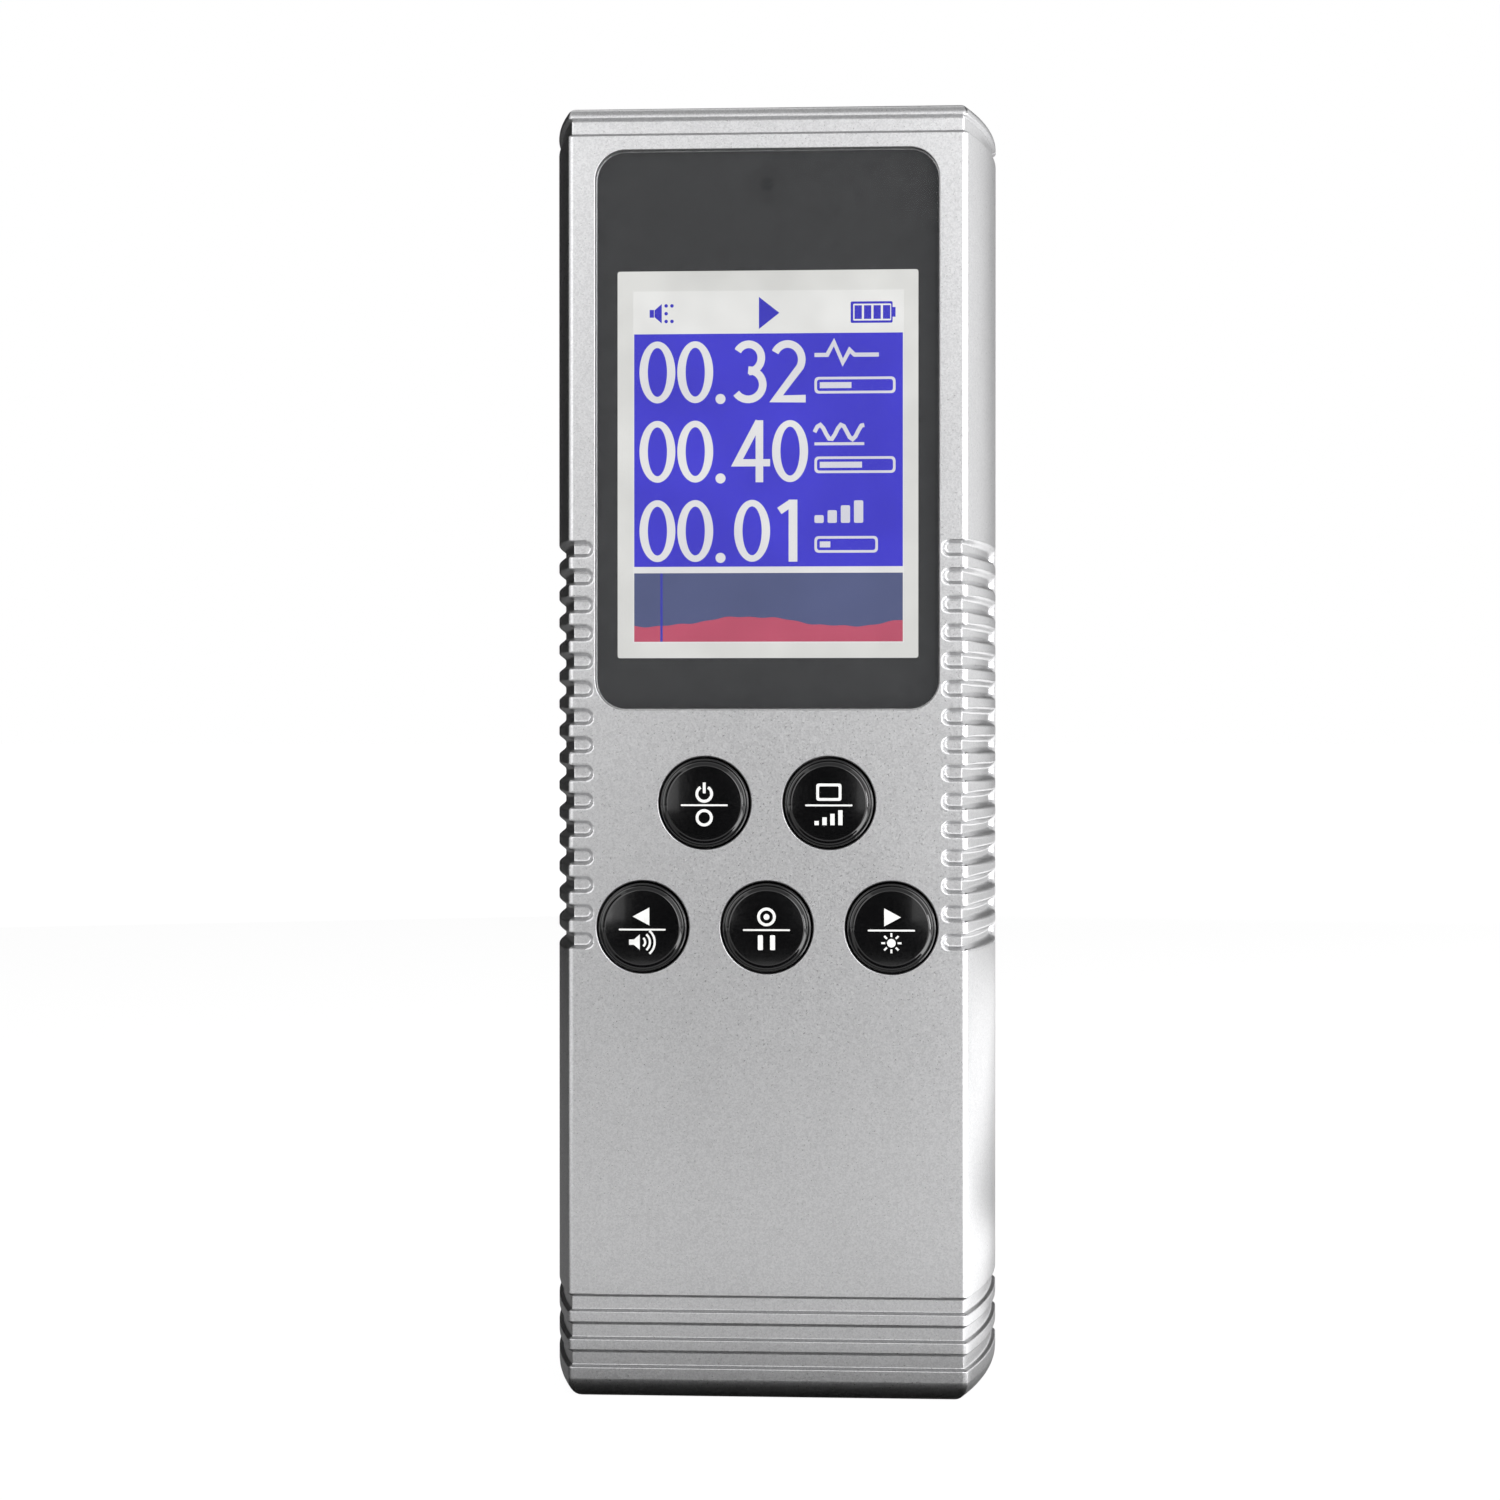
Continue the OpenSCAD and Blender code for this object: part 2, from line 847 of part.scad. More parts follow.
module switch_housing(place) {
  foot_w = 0.8;
  foot_l = 1.2;
  foot_t = 0.3;
  half = switch_w / 2;
  foot_x = half + foot_l / 2;
  color([0.12, 0.12, 0.13])
    difference() {
      union() {
        block([place.x - half, switch_depth, place.y - half], [place.x + half, board_depth, place.y + half]);
        for (side = [-1, 1], level = [-1, 1])
          translate([place.x + side * foot_x, y_at(board_depth) - foot_t / 2, place.y + level * 2])
            cube([foot_l, foot_t, foot_w], center = true);
      }
      rod(place, switch_depth - cut, plunger_depth + plunger_l + button_travel + gap, plunger_r + gap);
    }
}

// ---------- main board ----------

module main_board() {
  corner_x = post_x - post_r - door_gap;
  corner_z = post_z1 - post_r - door_gap;
  color(board_green)
    plate(board_depth, board_back_depth)
      difference() {
        translate([-board_w / 2, board_z0])
          square([board_w, board_z1 - board_z0]);
        for (side = [0, 1])
          mirror([side, 0])
            translate([corner_x, corner_z])
              square([board_w, board_w]);
        for (place = board_screw_places)
          translate(place)
            circle(screw_clear_r);
      }
}

module flex_connector() {
  entry = flex_t + gap;
  color("beige")
    difference() {
      block(
        [-flex_w / 2 - cut, board_depth - connector_t, connector_z1 - connector_h],
        [flex_w / 2 + cut, board_depth, connector_z1 + gap]
      );
      block(
        [-flex_w / 2 - gap, flex_back_depth - gap / 2, connector_z1],
        [flex_w / 2 + gap, flex_back_depth - gap / 2 + entry, connector_z1 + cut]
      );
    }
}

// A chip on the back of the board, with its legs along two or four sides
module chip(place, size, height, legs, four_sides) {
  leg_w = 0.35;
  leg_l = 0.9;
  leg_t = 0.2;
  pitch = (size.y - 1) / (legs - 1);
  turns = four_sides ? [0, 90, 180, 270] : [0, 180];
  color([0.09, 0.09, 0.1])
    translate([place.x, y_at(board_back_depth), place.y]) {
      translate([-size.x / 2, 0, -size.y / 2])
        cube([size.x, height, size.y]);
      for (turn = turns)
        rotate([0, turn, 0])
          for (i = [0:legs - 1])
            translate([size.x / 2 - leg_t, 0, -(size.y - 1) / 2 + i * pitch - leg_w / 2])
              cube([leg_l, leg_t, leg_w]);
    }
}

module microcontroller() {
  chip(microcontroller_at, [7, 7], 1.2, 8, true);
}

module regulator_chip() {
  chip(regulator_at, [4, 5], 1.5, 4, false);
}

module crystal() {
  length = 11;
  thickness = 4.6;
  can_h = 3.4;
  color(steel)
    translate([0, y_at(board_back_depth), crystal_z])
      rotate([-90, 0, 0])
        linear_extrude(can_h) {
          square([length - thickness, thickness], center = true);
          for (side = [-1, 1])
            translate([side * (length - thickness) / 2, 0])
              circle(thickness / 2);
        }
}

module high_voltage_core() {
  core_r = 1.8;
  color([0.15, 0.15, 0.16])
    translate([coil_at.x, y_at(board_back_depth), coil_at.y])
      rotate([-90, 0, 0])
        rotate_extrude()
          polygon([
            [0, 0],
            [coil_r, 0],
            [coil_r, coil_flange_t],
            [core_r, coil_flange_t],
            [core_r, coil_h - coil_flange_t],
            [coil_r, coil_h - coil_flange_t],
            [coil_r, coil_h],
            [0, coil_h]
          ]);
}

module high_voltage_winding() {
  inner_r = 1.9;
  outer_r = coil_r - 0.5;
  low_depth = board_back_depth + coil_flange_t + gap;
  color("sienna")
    difference() {
      rod(coil_at, low_depth, low_depth + coil_h - 2 * coil_flange_t - 2 * gap, outer_r);
      rod(coil_at, board_back_depth, board_back_depth + coil_h, inner_r);
    }
}

module film_capacitors() {
  size = [2.6, 6, 7];
  back = y_at(board_back_depth);
  color("firebrick")
    for (i = [0:2])
      translate([film_capacitor_at.x - size.x / 2, back, film_capacitor_at.y + i * film_capacitor_pitch])
        cube(size);
}

module filter_capacitor() {
  can_r = 3.15;
  can_h = 7;
  base_h = 0.8;
  half = 3.3;
  at = filter_capacitor_at;
  color([0.2, 0.22, 0.3]) {
    rod(at, board_back_depth + base_h / 2, board_back_depth + can_h, can_r);
    block(
      [at.x - half, board_back_depth, at.y - half],
      [at.x + half, board_back_depth + base_h, at.y + half]
    );
  }
}

module resistors() {
  size = [1.6, 0.6, 3.2];
  back = y_at(board_back_depth);
  color([0.1, 0.1, 0.1])
    for (column = [0:3], row = [0:1])
      translate([resistor_at.x + column * resistor_pitch.x, back, resistor_at.y + row * resistor_pitch.y])
        cube(size);
}

module indicator_led() {
  dome_depth = wall + 1;
  base_r = 1.9;
  color([0.85, 0.85, 0.9]) {
    rod([0, led_z], dome_depth, board_depth, led_r);
    rod([0, led_z], board_depth - 1, board_depth, base_r);
    translate([0, y_at(dome_depth), led_z])
      intersection() {
        sphere(led_r);
        translate([-led_r, -led_r, -led_r])
          cube([2 * led_r, led_r + gap, 2 * led_r]);
      }
  }
}

module buzzer_case() {
  hole_r = 1.2;
  low_depth = board_back_depth + buzzer_wall;
  high_depth = board_back_depth + buzzer_h - buzzer_wall;
  color(jet)
    difference() {
      rod(buzzer_at, board_back_depth, board_back_depth + buzzer_h, buzzer_r);
      rod(buzzer_at, low_depth, high_depth, buzzer_r - buzzer_wall);
      rod(buzzer_at, board_back_depth + buzzer_h / 2, board_back_depth + buzzer_h + cut, hole_r);
    }
}

module buzzer_disc() {
  disc_t = 0.4;
  low_depth = board_back_depth + buzzer_wall;
  color("gold")
    rod(buzzer_at, low_depth, low_depth + disc_t, buzzer_r - buzzer_wall - gap);
}

// ---------- sensor tube ----------

// A rod along Z on the tube's axis
module tube_rod(z0, z1, r) {
  translate([tube_x, y_at(tube_depth), z0])
    cylinder(h = z1 - z0, r = r);
}

module tube_glass() {
  color([0.75, 0.85, 0.85, 0.4])
    difference() {
      tube_rod(tube_z0 + 1, tube_z0 + tube_l - 1, tube_r);
      tube_rod(tube_z0, tube_z0 + tube_l, tube_r - tube_wall);
    }
}

module tube_cathode() {
  outer_r = tube_r - tube_wall - gap / 2;
  color("lightsteelblue")
    difference() {
      tube_rod(tube_z0 + 4, tube_z0 + tube_l - 4, outer_r);
      tube_rod(tube_z0, tube_z0 + tube_l, outer_r - 0.15);
    }
}

module tube_anode() {
  color(steel)
    tube_rod(tube_z0 + 1, tube_z0 + tube_l - 1, 0.35);
}

module tube_cap(z0, z1, closed_at) {
  end_t = 0.9;
  tip_r = 1.2;
  tip_l = 0.8;
  color(steel)
    difference() {
      union() {
        tube_rod(z0, z1, tube_cap_r);
        translate([0, 0, closed_at == "top" ? z1 - z0 : -tip_l])
          tube_rod(z0, z0 + tip_l, tip_r);
      }
      if (closed_at == "top")
        tube_rod(z0 - cut, z1 - end_t, tube_cap_inner_r);
      else
        tube_rod(z0 + end_t, z1 + cut, tube_cap_inner_r);
    }
}

module tube_cap_upper() {
  tube_cap(tube_z0 + tube_l - tube_cap_l, tube_z0 + tube_l, "top");
}

module tube_cap_lower() {
  tube_cap(tube_z0, tube_z0 + tube_cap_l, "bottom");
}

// A sprung clip on the board that grips an end of the tube, open towards the back
module tube_clip(z0) {
  mouth = 6.4;
  stem_w = 3;
  color("goldenrod")
    difference() {
      union() {
        tube_rod(z0, z0 + clip_l, clip_outer_r);
        block(
          [tube_x - stem_w / 2, board_back_depth, z0],
          [tube_x + stem_w / 2, tube_depth - stem_w, z0 + clip_l]
        );
      }
      tube_rod(z0 - cut, z0 + clip_l + cut, clip_inner_r);
      block(
        [tube_x - mouth / 2, tube_depth, z0 - cut],
        [tube_x + mouth / 2, tube_depth + 2 * clip_outer_r, z0 + clip_l + cut]
      );
    }
}

module tube_clip_upper() {
  tube_clip(tube_z0 + tube_l - clip_offset - clip_l);
}

module tube_clip_lower() {
  tube_clip(tube_z0 + clip_offset);
}

// ---------- batteries and contacts ----------

// A cell with its positive end up, or down when it is turned over
module battery(i) {
  nub_r = 1.9;
  nub_l = 0.8;
  edge = 0.4;
  positive_up = i != 0;
  top = bay_z1 - contact_t - gap;
  bottom = bay_z0 + contact_t + gap;
  color("darkslategray")
    translate([i * cell_pitch, y_at(cell_depth), positive_up ? top : bottom])
      mirror([0, 0, positive_up ? 1 : 0])
        rotate_extrude()
          polygon([
            [0, 0],
            [nub_r, 0],
            [nub_r, nub_l],
            [cell_r - edge, nub_l],
            [cell_r, nub_l + edge],
            [cell_r, cell_l - edge],
            [cell_r - edge, cell_l],
            [0, cell_l]
          ]);
}

// A conical spring from a contact plate to the flat end of a cell
module contact_spring(i) {
  per_turn = 16;
  steps = spring_turns * per_turn;
  length = bay_z1 - bay_z0 - 2 * contact_t - cell_l - 2 * gap - 2 * spring_wire_r;
  path = [
    for (k = [0:steps])
      let (f = k / steps, a = 360 * k / per_turn, r = spring_r0 + (spring_r1 - spring_r0) * f)
        [r * cos(a), r * sin(a), length * f]
  ];
  start = contact_t + spring_wire_r + gap / 2;
  from_bottom = i != 0;
  translate([i * cell_pitch, y_at(cell_depth), from_bottom ? bay_z0 + start : bay_z1 - start])
    mirror([0, 0, from_bottom ? 0 : 1])
      round_wire(path, spring_wire_r, [0, 0, 1], 6);
}

module battery_springs() {
  color(steel)
    for (i = [-1:1])
      contact_spring(i);
}

// Plates on the end walls: single ones for the two wires, double ones from cell to cell
module battery_contacts() {
  color(steel) {
    contact_plate([-1], bay_z1 - contact_t);
    contact_plate([0, 1], bay_z1 - contact_t);
    contact_plate([-1, 0], bay_z0);
    contact_plate([1], bay_z0);
  }
}

// A plate with a pad at each of these cells, and a strip that joins the pads over the rib between them
module contact_plate(cells, z) {
  for (i = cells)
    contact_block(i * cell_pitch - contact_half, i * cell_pitch + contact_half, contact_depth0, z);
  contact_block(
    min(cells) * cell_pitch - contact_half,
    max(cells) * cell_pitch + contact_half,
    contact_bridge_depth,
    z
  );
}

module contact_block(x0, x1, depth0, z) {
  block([x0, depth0, z], [x1, contact_depth1, z + contact_t]);
}

module red_wire() {
  color("red")
    round_wire(curve_through(red_wire_path, 4), wire_r);
}

module black_wire() {
  color([0.05, 0.05, 0.05])
    round_wire(curve_through(black_wire_path, 4), wire_r);
}

// ---------- screws ----------

// A screw with a cross recess, driven from the back towards the front
module screw(place, head_depth, head_r, head_t, length) {
  slot_w = 0.5;
  slot_l = head_r * 1.2;
  difference() {
    union() {
      rod(place, head_depth, head_depth + head_t, head_r);
      rod(place, head_depth - length, head_depth + gap, post_hole_r - screw_slip);
    }
    for (turn = [0, 90])
      translate([place.x, y_at(head_depth + head_t), place.y])
        rotate([0, turn, 0])
          cube([slot_l, head_t, slot_w], center = true);
  }
}

module case_screws() {
  color(steel)
    for (place = post_places)
      screw(place, case_screw_head_depth, case_screw_head_r, case_screw_head_t, case_screw_l);
}

module board_screws() {
  color(steel)
    for (place = board_screw_places)
      screw(place, board_back_depth, board_screw_head_r, board_screw_head_t, board_screw_l);
}

// ---------- assembly ----------

front_cover();
rear_cover();
battery_door();
display_window();
window_mask();
window_adhesive();
lcd_frame();
lcd_glass();
lcd_backlight();
lcd_flex();
lcd_cushion();
button_cap(power_at);  // power_button
button_cap(display_at);  // display_button
button_cap(left_at);  // left_button
button_cap(centre_at);  // centre_button
button_cap(right_at);  // right_button
switch_plunger(power_at);  // power_plunger
switch_plunger(display_at);  // display_plunger
switch_plunger(left_at);  // left_plunger
switch_plunger(centre_at);  // centre_plunger
switch_plunger(right_at);  // right_plunger
switch_housing(power_at);  // power_switch
switch_housing(display_at);  // display_switch
switch_housing(left_at);  // left_switch
switch_housing(centre_at);  // centre_switch
switch_housing(right_at);  // right_switch
main_board();
flex_connector();
microcontroller();
regulator_chip();
crystal();
high_voltage_core();
high_voltage_winding();
film_capacitors();
filter_capacitor();
resistors();
indicator_led();
buzzer_case();
buzzer_disc();
tube_glass();
tube_cathode();
tube_anode();
tube_cap_upper();
tube_cap_lower();
tube_clip_upper();
tube_clip_lower();
battery(-1);  // battery_left
battery(0);  // battery_middle
battery(1);  // battery_right
battery_springs();
battery_contacts();
red_wire();
black_wire();
case_screws();
board_screws();
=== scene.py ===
"""Looks of a hand-held radiation meter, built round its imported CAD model."""

import json
import math
from collections import namedtuple

import bmesh
import bpy
import numpy as np
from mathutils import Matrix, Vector
from mathutils.geometry import delaunay_2d_cdt


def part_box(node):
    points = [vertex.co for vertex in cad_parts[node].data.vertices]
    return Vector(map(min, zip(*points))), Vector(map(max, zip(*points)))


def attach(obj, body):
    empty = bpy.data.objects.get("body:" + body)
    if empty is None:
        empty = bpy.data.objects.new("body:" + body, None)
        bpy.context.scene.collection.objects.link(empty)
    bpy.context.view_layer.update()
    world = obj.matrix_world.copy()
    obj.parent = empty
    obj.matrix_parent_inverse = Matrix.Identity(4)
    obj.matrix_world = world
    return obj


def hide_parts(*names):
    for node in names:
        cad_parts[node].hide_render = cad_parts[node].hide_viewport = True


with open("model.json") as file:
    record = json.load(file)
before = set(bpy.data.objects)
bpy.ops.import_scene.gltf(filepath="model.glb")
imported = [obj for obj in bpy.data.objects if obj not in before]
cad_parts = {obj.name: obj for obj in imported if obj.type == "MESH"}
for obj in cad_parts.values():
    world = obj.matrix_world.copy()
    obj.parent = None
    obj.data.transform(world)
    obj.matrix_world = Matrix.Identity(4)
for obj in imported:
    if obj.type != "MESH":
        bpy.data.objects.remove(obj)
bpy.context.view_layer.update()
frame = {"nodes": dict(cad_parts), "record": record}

# ---------- measures ----------
# Shapes are drawn in millimetres and turned into metres when their mesh is made.
MM = 0.001
# Heights closer than this are the same height.
SAME = 1e-4


def box_mm(node):
    """Lowest and highest corner of a CAD node, in millimetres."""
    low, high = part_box(node)
    return low / MM, high / MM


def middle(node):
    """Middle of a CAD node seen from the front, as (x, z)."""
    low, high = box_mm(node)
    return (low.x + high.x) / 2, (low.z + high.z) / 2


front_low, front_high = box_mm("front_cover")
rear_high = box_mm("rear_cover")[1]
FRONT_Y = front_low.y
PARTING_Y = front_high.y
BACK_Y = rear_high.y
CASE_H = front_high.z
HALF_W = rear_high.x
WALL = 2.0

# Outline of the case seen from above: flat front, bulging sides, round back corners
WIDEST_Y = FRONT_Y + 23
SIDE_R = 88.2
SIDE_X = SIDE_R - HALF_W
CREASE_R = 0.6
CORNER_R = 4.0
CORNER_Y = BACK_Y - CORNER_R
CORNER_X = math.sqrt((SIDE_R - CORNER_R) ** 2 - (CORNER_Y - WIDEST_Y) ** 2) - SIDE_X
CORNER_START = math.atan2(CORNER_Y - WIDEST_Y, CORNER_X + SIDE_X)
TOP_R = 1.0
BOTTOM_R = 2.0
PARTING_R = 0.16

# Grooves round the two ends
GROOVE_H = 1.85
GROOVE_DEPTH = 0.45
GROOVE_SLOPE = 0.3
BOTTOM_GROOVES = [3.12, 5.98, 8.84]
TOP_GROOVE = CASE_H - 2.9
GROOVES = BOTTOM_GROOVES + [TOP_GROOVE]

# Notches of the side grips: each begins round on the front and runs over the side to the back corner.
# Their walls are steep on the front and easier on the side.
NOTCH_COUNT = 15
NOTCH_PITCH = 2.86
NOTCH_TOP_Z = CASE_H - 45.05
NOTCH_DEPTH = 0.72
NOTCH_HALF_H = 0.88
NOTCH_FLARE = 0.2
NOTCH_ROUND_X = 18.65
FRONT_SLOPE = 0.42
SIDE_SLOPE = 0.85
SLOPE_CHANGE = 5.0
NOTCH_END_Y = CORNER_Y
NOTCH_END_SLOPE = 0.9
NOTCH_ROWS = 30

PANEL_X = 17.72
HOLE_RIM_R = 0.16
BUTTONS = ("power", "display", "left", "centre", "right")
BUTTON_PLACES = {name: middle(name + "_button") for name in BUTTONS}


# ---------- making meshes ----------
class Skin:
    """Points and faces of one closed mesh. Points at the same place are joined when it is made."""

    def __init__(self):
        self.points = []
        self.faces = []
        self.level = set()

    def add(self, points):
        start = len(self.points)
        self.points.extend(points)
        return range(start, len(self.points))

    def strip(self, rings, closed=True):
        """Joins each ring or row of points to the next."""
        rows = [self.add(ring) for ring in rings]
        for low, high in zip(rows, rows[1:]):
            count = len(low)
            for i in range(count if closed else count - 1):
                j = (i + 1) % count
                self.faces.append((low[i], low[j], high[j], high[i]))

    def face(self, points):
        self.level.add(len(self.faces))
        self.faces.append(tuple(self.add(points)))

    def solid(self, rings):
        """Joins the rings and closes both ends with a flat face."""
        self.strip(rings)
        self.face(rings[0])
        self.face(rings[-1])

    def wall(self, outline, y0, y1):
        self.strip([at_depth(outline, y0), at_depth(outline, y1)])

    def flat(self, y, outline, holes):
        """A flat sheet across the thickness at y. Its outline and holes are lists of (x, z)."""
        loops = [outline, *holes]
        flat_points = [Vector(p) for loop in loops for p in loop]
        edges = []
        start = 0
        for loop in loops:
            count = len(loop)
            edges += [(start + i, start + (i + 1) % count) for i in range(count)]
            start += count
        made, _, triangles, _, _, _ = delaunay_2d_cdt(flat_points, edges, [], 0, 1e-6)
        centres = np.array([np.mean([made[i] for i in t], axis=0) for t in triangles])
        keep = inside(centres, outline)
        for hole in holes:
            keep &= ~inside(centres, hole)
        base = self.add([(p.x, y, p.y) for p in made])
        start = len(self.faces)
        self.faces += [tuple(base[i] for i in t) for t, kept in zip(triangles, keep) if kept]
        self.level.update(range(start, len(self.faces)))

    def plate(self, y0, y1, outline, holes=()):
        """A flat shape with thickness, from y0 to y1."""
        self.flat(y0, outline, holes)
        self.flat(y1, outline, holes)
        for loop in (outline, *holes):
            self.wall(loop, y0, y1)

    def lathe(self, place, profile, count=64):
        """A shape turned about an axis along the thickness. The profile is a list of (radius, y)."""
        self.strip([at_depth(circle(place, r, count), y) for r, y in profile])

    def make(self, name, smooth_angle=35):
        """The finished Blender object, with its surface closed and its normals outwards."""
        mesh = bpy.data.meshes.new(name)
        mesh.from_pydata([tuple(c * MM for c in p) for p in self.points], [], self.faces)
        mesh.polygons.foreach_set("use_smooth", [i not in self.level for i in range(len(self.faces))])
        shape = bmesh.new()
        shape.from_mesh(mesh)
        bmesh.ops.remove_doubles(shape, verts=shape.verts, dist=1e-6)
        bmesh.ops.dissolve_degenerate(shape, edges=shape.edges, dist=1e-7)
        bmesh.ops.recalc_face_normals(shape, faces=shape.faces)
        shape.to_mesh(mesh)
        shape.free()
        piece = bpy.data.objects.new(name, mesh)
        bpy.context.scene.collection.objects.link(piece)
        shade(mesh, smooth_angle)
        return piece


def shade(mesh, angle):
    """Marks the edges sharper than an angle, in degrees, and keeps the level faces shaded flat."""
    smooth_faces = [face.use_smooth for face in mesh.polygons]
    mesh.set_sharp_from_angle(angle=math.radians(angle))
    mesh.polygons.foreach_set("use_smooth", smooth_faces)


def inside(points, loop):
    """Which points lie inside a loop of (x, z)."""
    start = np.array(loop)
    end = np.roll(start, -1, axis=0)
    x, z = points[:, 0:1], points[:, 1:2]
    spans = (start[:, 1] > z) != (end[:, 1] > z)
    rise = np.where(end[:, 1] == start[:, 1], 1.0, end[:, 1] - start[:, 1])
    crossing = start[:, 0] + (z - start[:, 1]) * (end[:, 0] - start[:, 0]) / rise
    return (np.sum(spans & (x < crossing), axis=1) % 2).astype(bool)


def at_depth(outline, y):
    return [(x, y, z) for x, z in outline]


def moved(outline, x, z):
    return [(px + x, pz + z) for px, pz in outline]


def shares(count):
    return [i / count for i in range(count + 1)]


def angles(start, end, steps):
    """Evenly spaced angles between two in degrees, as radians."""
    return [math.radians(start + (end - start) * i / steps) for i in range(steps + 1)]


def circle(place, r, count=64):
    turn = 2 * math.pi / count
    return [(place[0] + r * math.cos(i * turn), place[1] + r * math.sin(i * turn)) for i in range(count)]


def rectangle(x0, x1, z0, z1):
    return [(x0, z0), (x1, z0), (x1, z1), (x0, z1)]


def spread(sides, margin):
    """The sides of a rectangle, (x0, x1, z0, z1), moved out by a margin."""
    x0, x1, z0, z1 = sides
    return x0 - margin, x1 + margin, z0 - margin, z1 + margin


def rounded(x0, x1, z0, z1, r, steps):
    """A rectangle with round corners."""
    corners = [(x1 - r, z0 + r, -90), (x1 - r, z1 - r, 0), (x0 + r, z1 - r, 90), (x0 + r, z0 + r, 180)]
    outline = []
    for x, z, start in corners:
        outline += [(x + r * math.cos(a), z + r * math.sin(a)) for a in angles(start, start + 90, steps)]
    return outline


def rim(r, steps=3):
    """Steps of a rounded edge, as (how much wider than the hole, how deep)."""
    return [(r - r * math.sin(a), r - r * math.cos(a)) for a in angles(0, 90, steps)]


def arc(place, rx, rz, start, end, steps):
    """Points on an upright ellipse between two angles in degrees."""
    return [(place[0] + rx * math.cos(a), place[1] + rz * math.sin(a)) for a in angles(start, end, steps)]


def stroke(points, width):
    """Outline of a pen stroke of one width along a line of points."""
    line = [Vector(p) for p in points]
    left, right = [], []
    for i, p in enumerate(line):
        before = (p - line[i - 1]).normalized() if i > 0 else None
        after = (line[i + 1] - p).normalized() if i < len(line) - 1 else None
        before = before or after
        after = after or before
        across = Vector((-before.y - after.y, before.x + after.x)).normalized()
        reach = width / 2 / max(across.dot(Vector((-after.y, after.x))), 0.5)
        left.append(tuple(p + across * reach))
        right.append(tuple(p - across * reach))
    return left + right[::-1]


def smooth(t):
    t = min(max(t, 0.0), 1.0)
    return t * t * (3 - 2 * t)


def cut_out(piece, cutter, operation="DIFFERENCE"):
    """Cuts one closed mesh out of another, or joins them, and removes the cutter."""
    change = piece.modifiers.new("change", "BOOLEAN")
    change.operation = operation
    change.object = cutter
    change.solver = "EXACT"
    graph = bpy.context.evaluated_depsgraph_get()
    result = bpy.data.meshes.new_from_object(piece.evaluated_get(graph), depsgraph=graph)
    piece.modifiers.remove(change)
    piece.data = result
    bpy.data.objects.remove(cutter)
    shade(result, 35)


# ---------- the outside of the two covers ----------
def side_half_width(y, inset):
    """Half the width between the bulging sides at a depth."""
    return math.sqrt((SIDE_R - inset) ** 2 - (y - WIDEST_Y) ** 2) - SIDE_X


def crease(inset):
    """Centre and radius of the small rounding where the front meets a side."""
    r = max(CREASE_R - inset, CREASE_R / 10)
    y = FRONT_Y + inset + r
    x = math.sqrt((SIDE_R - inset - r) ** 2 - (y - WIDEST_Y) ** 2) - SIDE_X
    return x, y, r


# A line up the outside of a cover: its place (x, y) at any inset, how much of the grooves' depth
# reaches it, and how far it is drawn in as part of the rounded edge at the parting line
Column = namedtuple("Column", "place groove edge", defaults=(1.0, 0.0))


def front_column(u):
    """From the edge of the flat panel (u = 0) to the crease (u = 1)."""
    return Column(lambda inset: (PANEL_X + (crease(inset)[0] - PANEL_X) * u, FRONT_Y + inset))


def crease_column(u):
    """Round the crease, from the front (u = 0) to the side (u = 1)."""

    def place(inset):
        x, y, r = crease(inset)
        start = -math.pi / 2
        end = math.atan2(y - WIDEST_Y, x + SIDE_X)
        a = start + (end - start) * u
        return x + r * math.cos(a), y + r * math.sin(a)

    return Column(place)


def side_column(start_y, end_y, u, edge=0.0):
    """On the bulging side, between two depths. Each is a number, or a function of the inset."""

    def place(inset):
        first = start_y(inset) if callable(start_y) else start_y
        last = end_y(inset) if callable(end_y) else end_y
        y = first + (last - first) * u
        return side_half_width(y, inset), y

    return Column(place, edge=edge)


def crease_end_y(inset):
    return crease_column(1).place(inset)[1]


def corner_start_y(inset):
    return CORNER_Y + (CORNER_R - inset) * math.sin(CORNER_START)


def corner_column(u):
    """Round the back corner, from the side (u = 0) to the flat back (u = 1)."""

    def place(inset):
        a = CORNER_START + (math.pi / 2 - CORNER_START) * u
        r = CORNER_R - inset
        return CORNER_X + r * math.cos(a), CORNER_Y + r * math.sin(a)

    return Column(place, groove=1 - smooth((u - 0.75) / 0.2))


def edge_columns(sign):
    """The rounded edge at the parting line. Sign is -1 on the front cover and 1 on the rear one."""
    steps = [(PARTING_Y + sign * wider, deep) for wider, deep in rim(PARTING_R)]
    return [side_column(y, y, 0, edge=deep) for y, deep in steps]


def front_columns():
    columns = [front_column(u) for u in shares(20)]
    columns += [crease_column(u) for u in shares(4)[1:]]
    columns += [side_column(crease_end_y, PARTING_Y - PARTING_R, u) for u in shares(14)[1:-1]]
    return columns + edge_columns(-1)


def rear_columns():
    columns = edge_columns(1)[::-1]
    columns += [side_column(PARTING_Y + PARTING_R, corner_start_y, u) for u in shares(5)[1:]]
    columns += [corner_column(u) for u in shares(14)[1:]]
    return columns


def end_inset(z):
    """How far the rounding of the two ends draws the outline in at a height."""
    if z < BOTTOM_R:
        return BOTTOM_R - math.sqrt(max(BOTTOM_R**2 - (BOTTOM_R - z) ** 2, 0))
    low = CASE_H - TOP_R
    if z > low:
        return TOP_R - math.sqrt(max(TOP_R**2 - (z - low) ** 2, 0))
    return 0.0


def groove_dent(z):
    deepest = max(min(z - low, low + GROOVE_H - z) for low in GROOVES)
    return GROOVE_DEPTH * smooth(deepest / GROOVE_SLOPE)


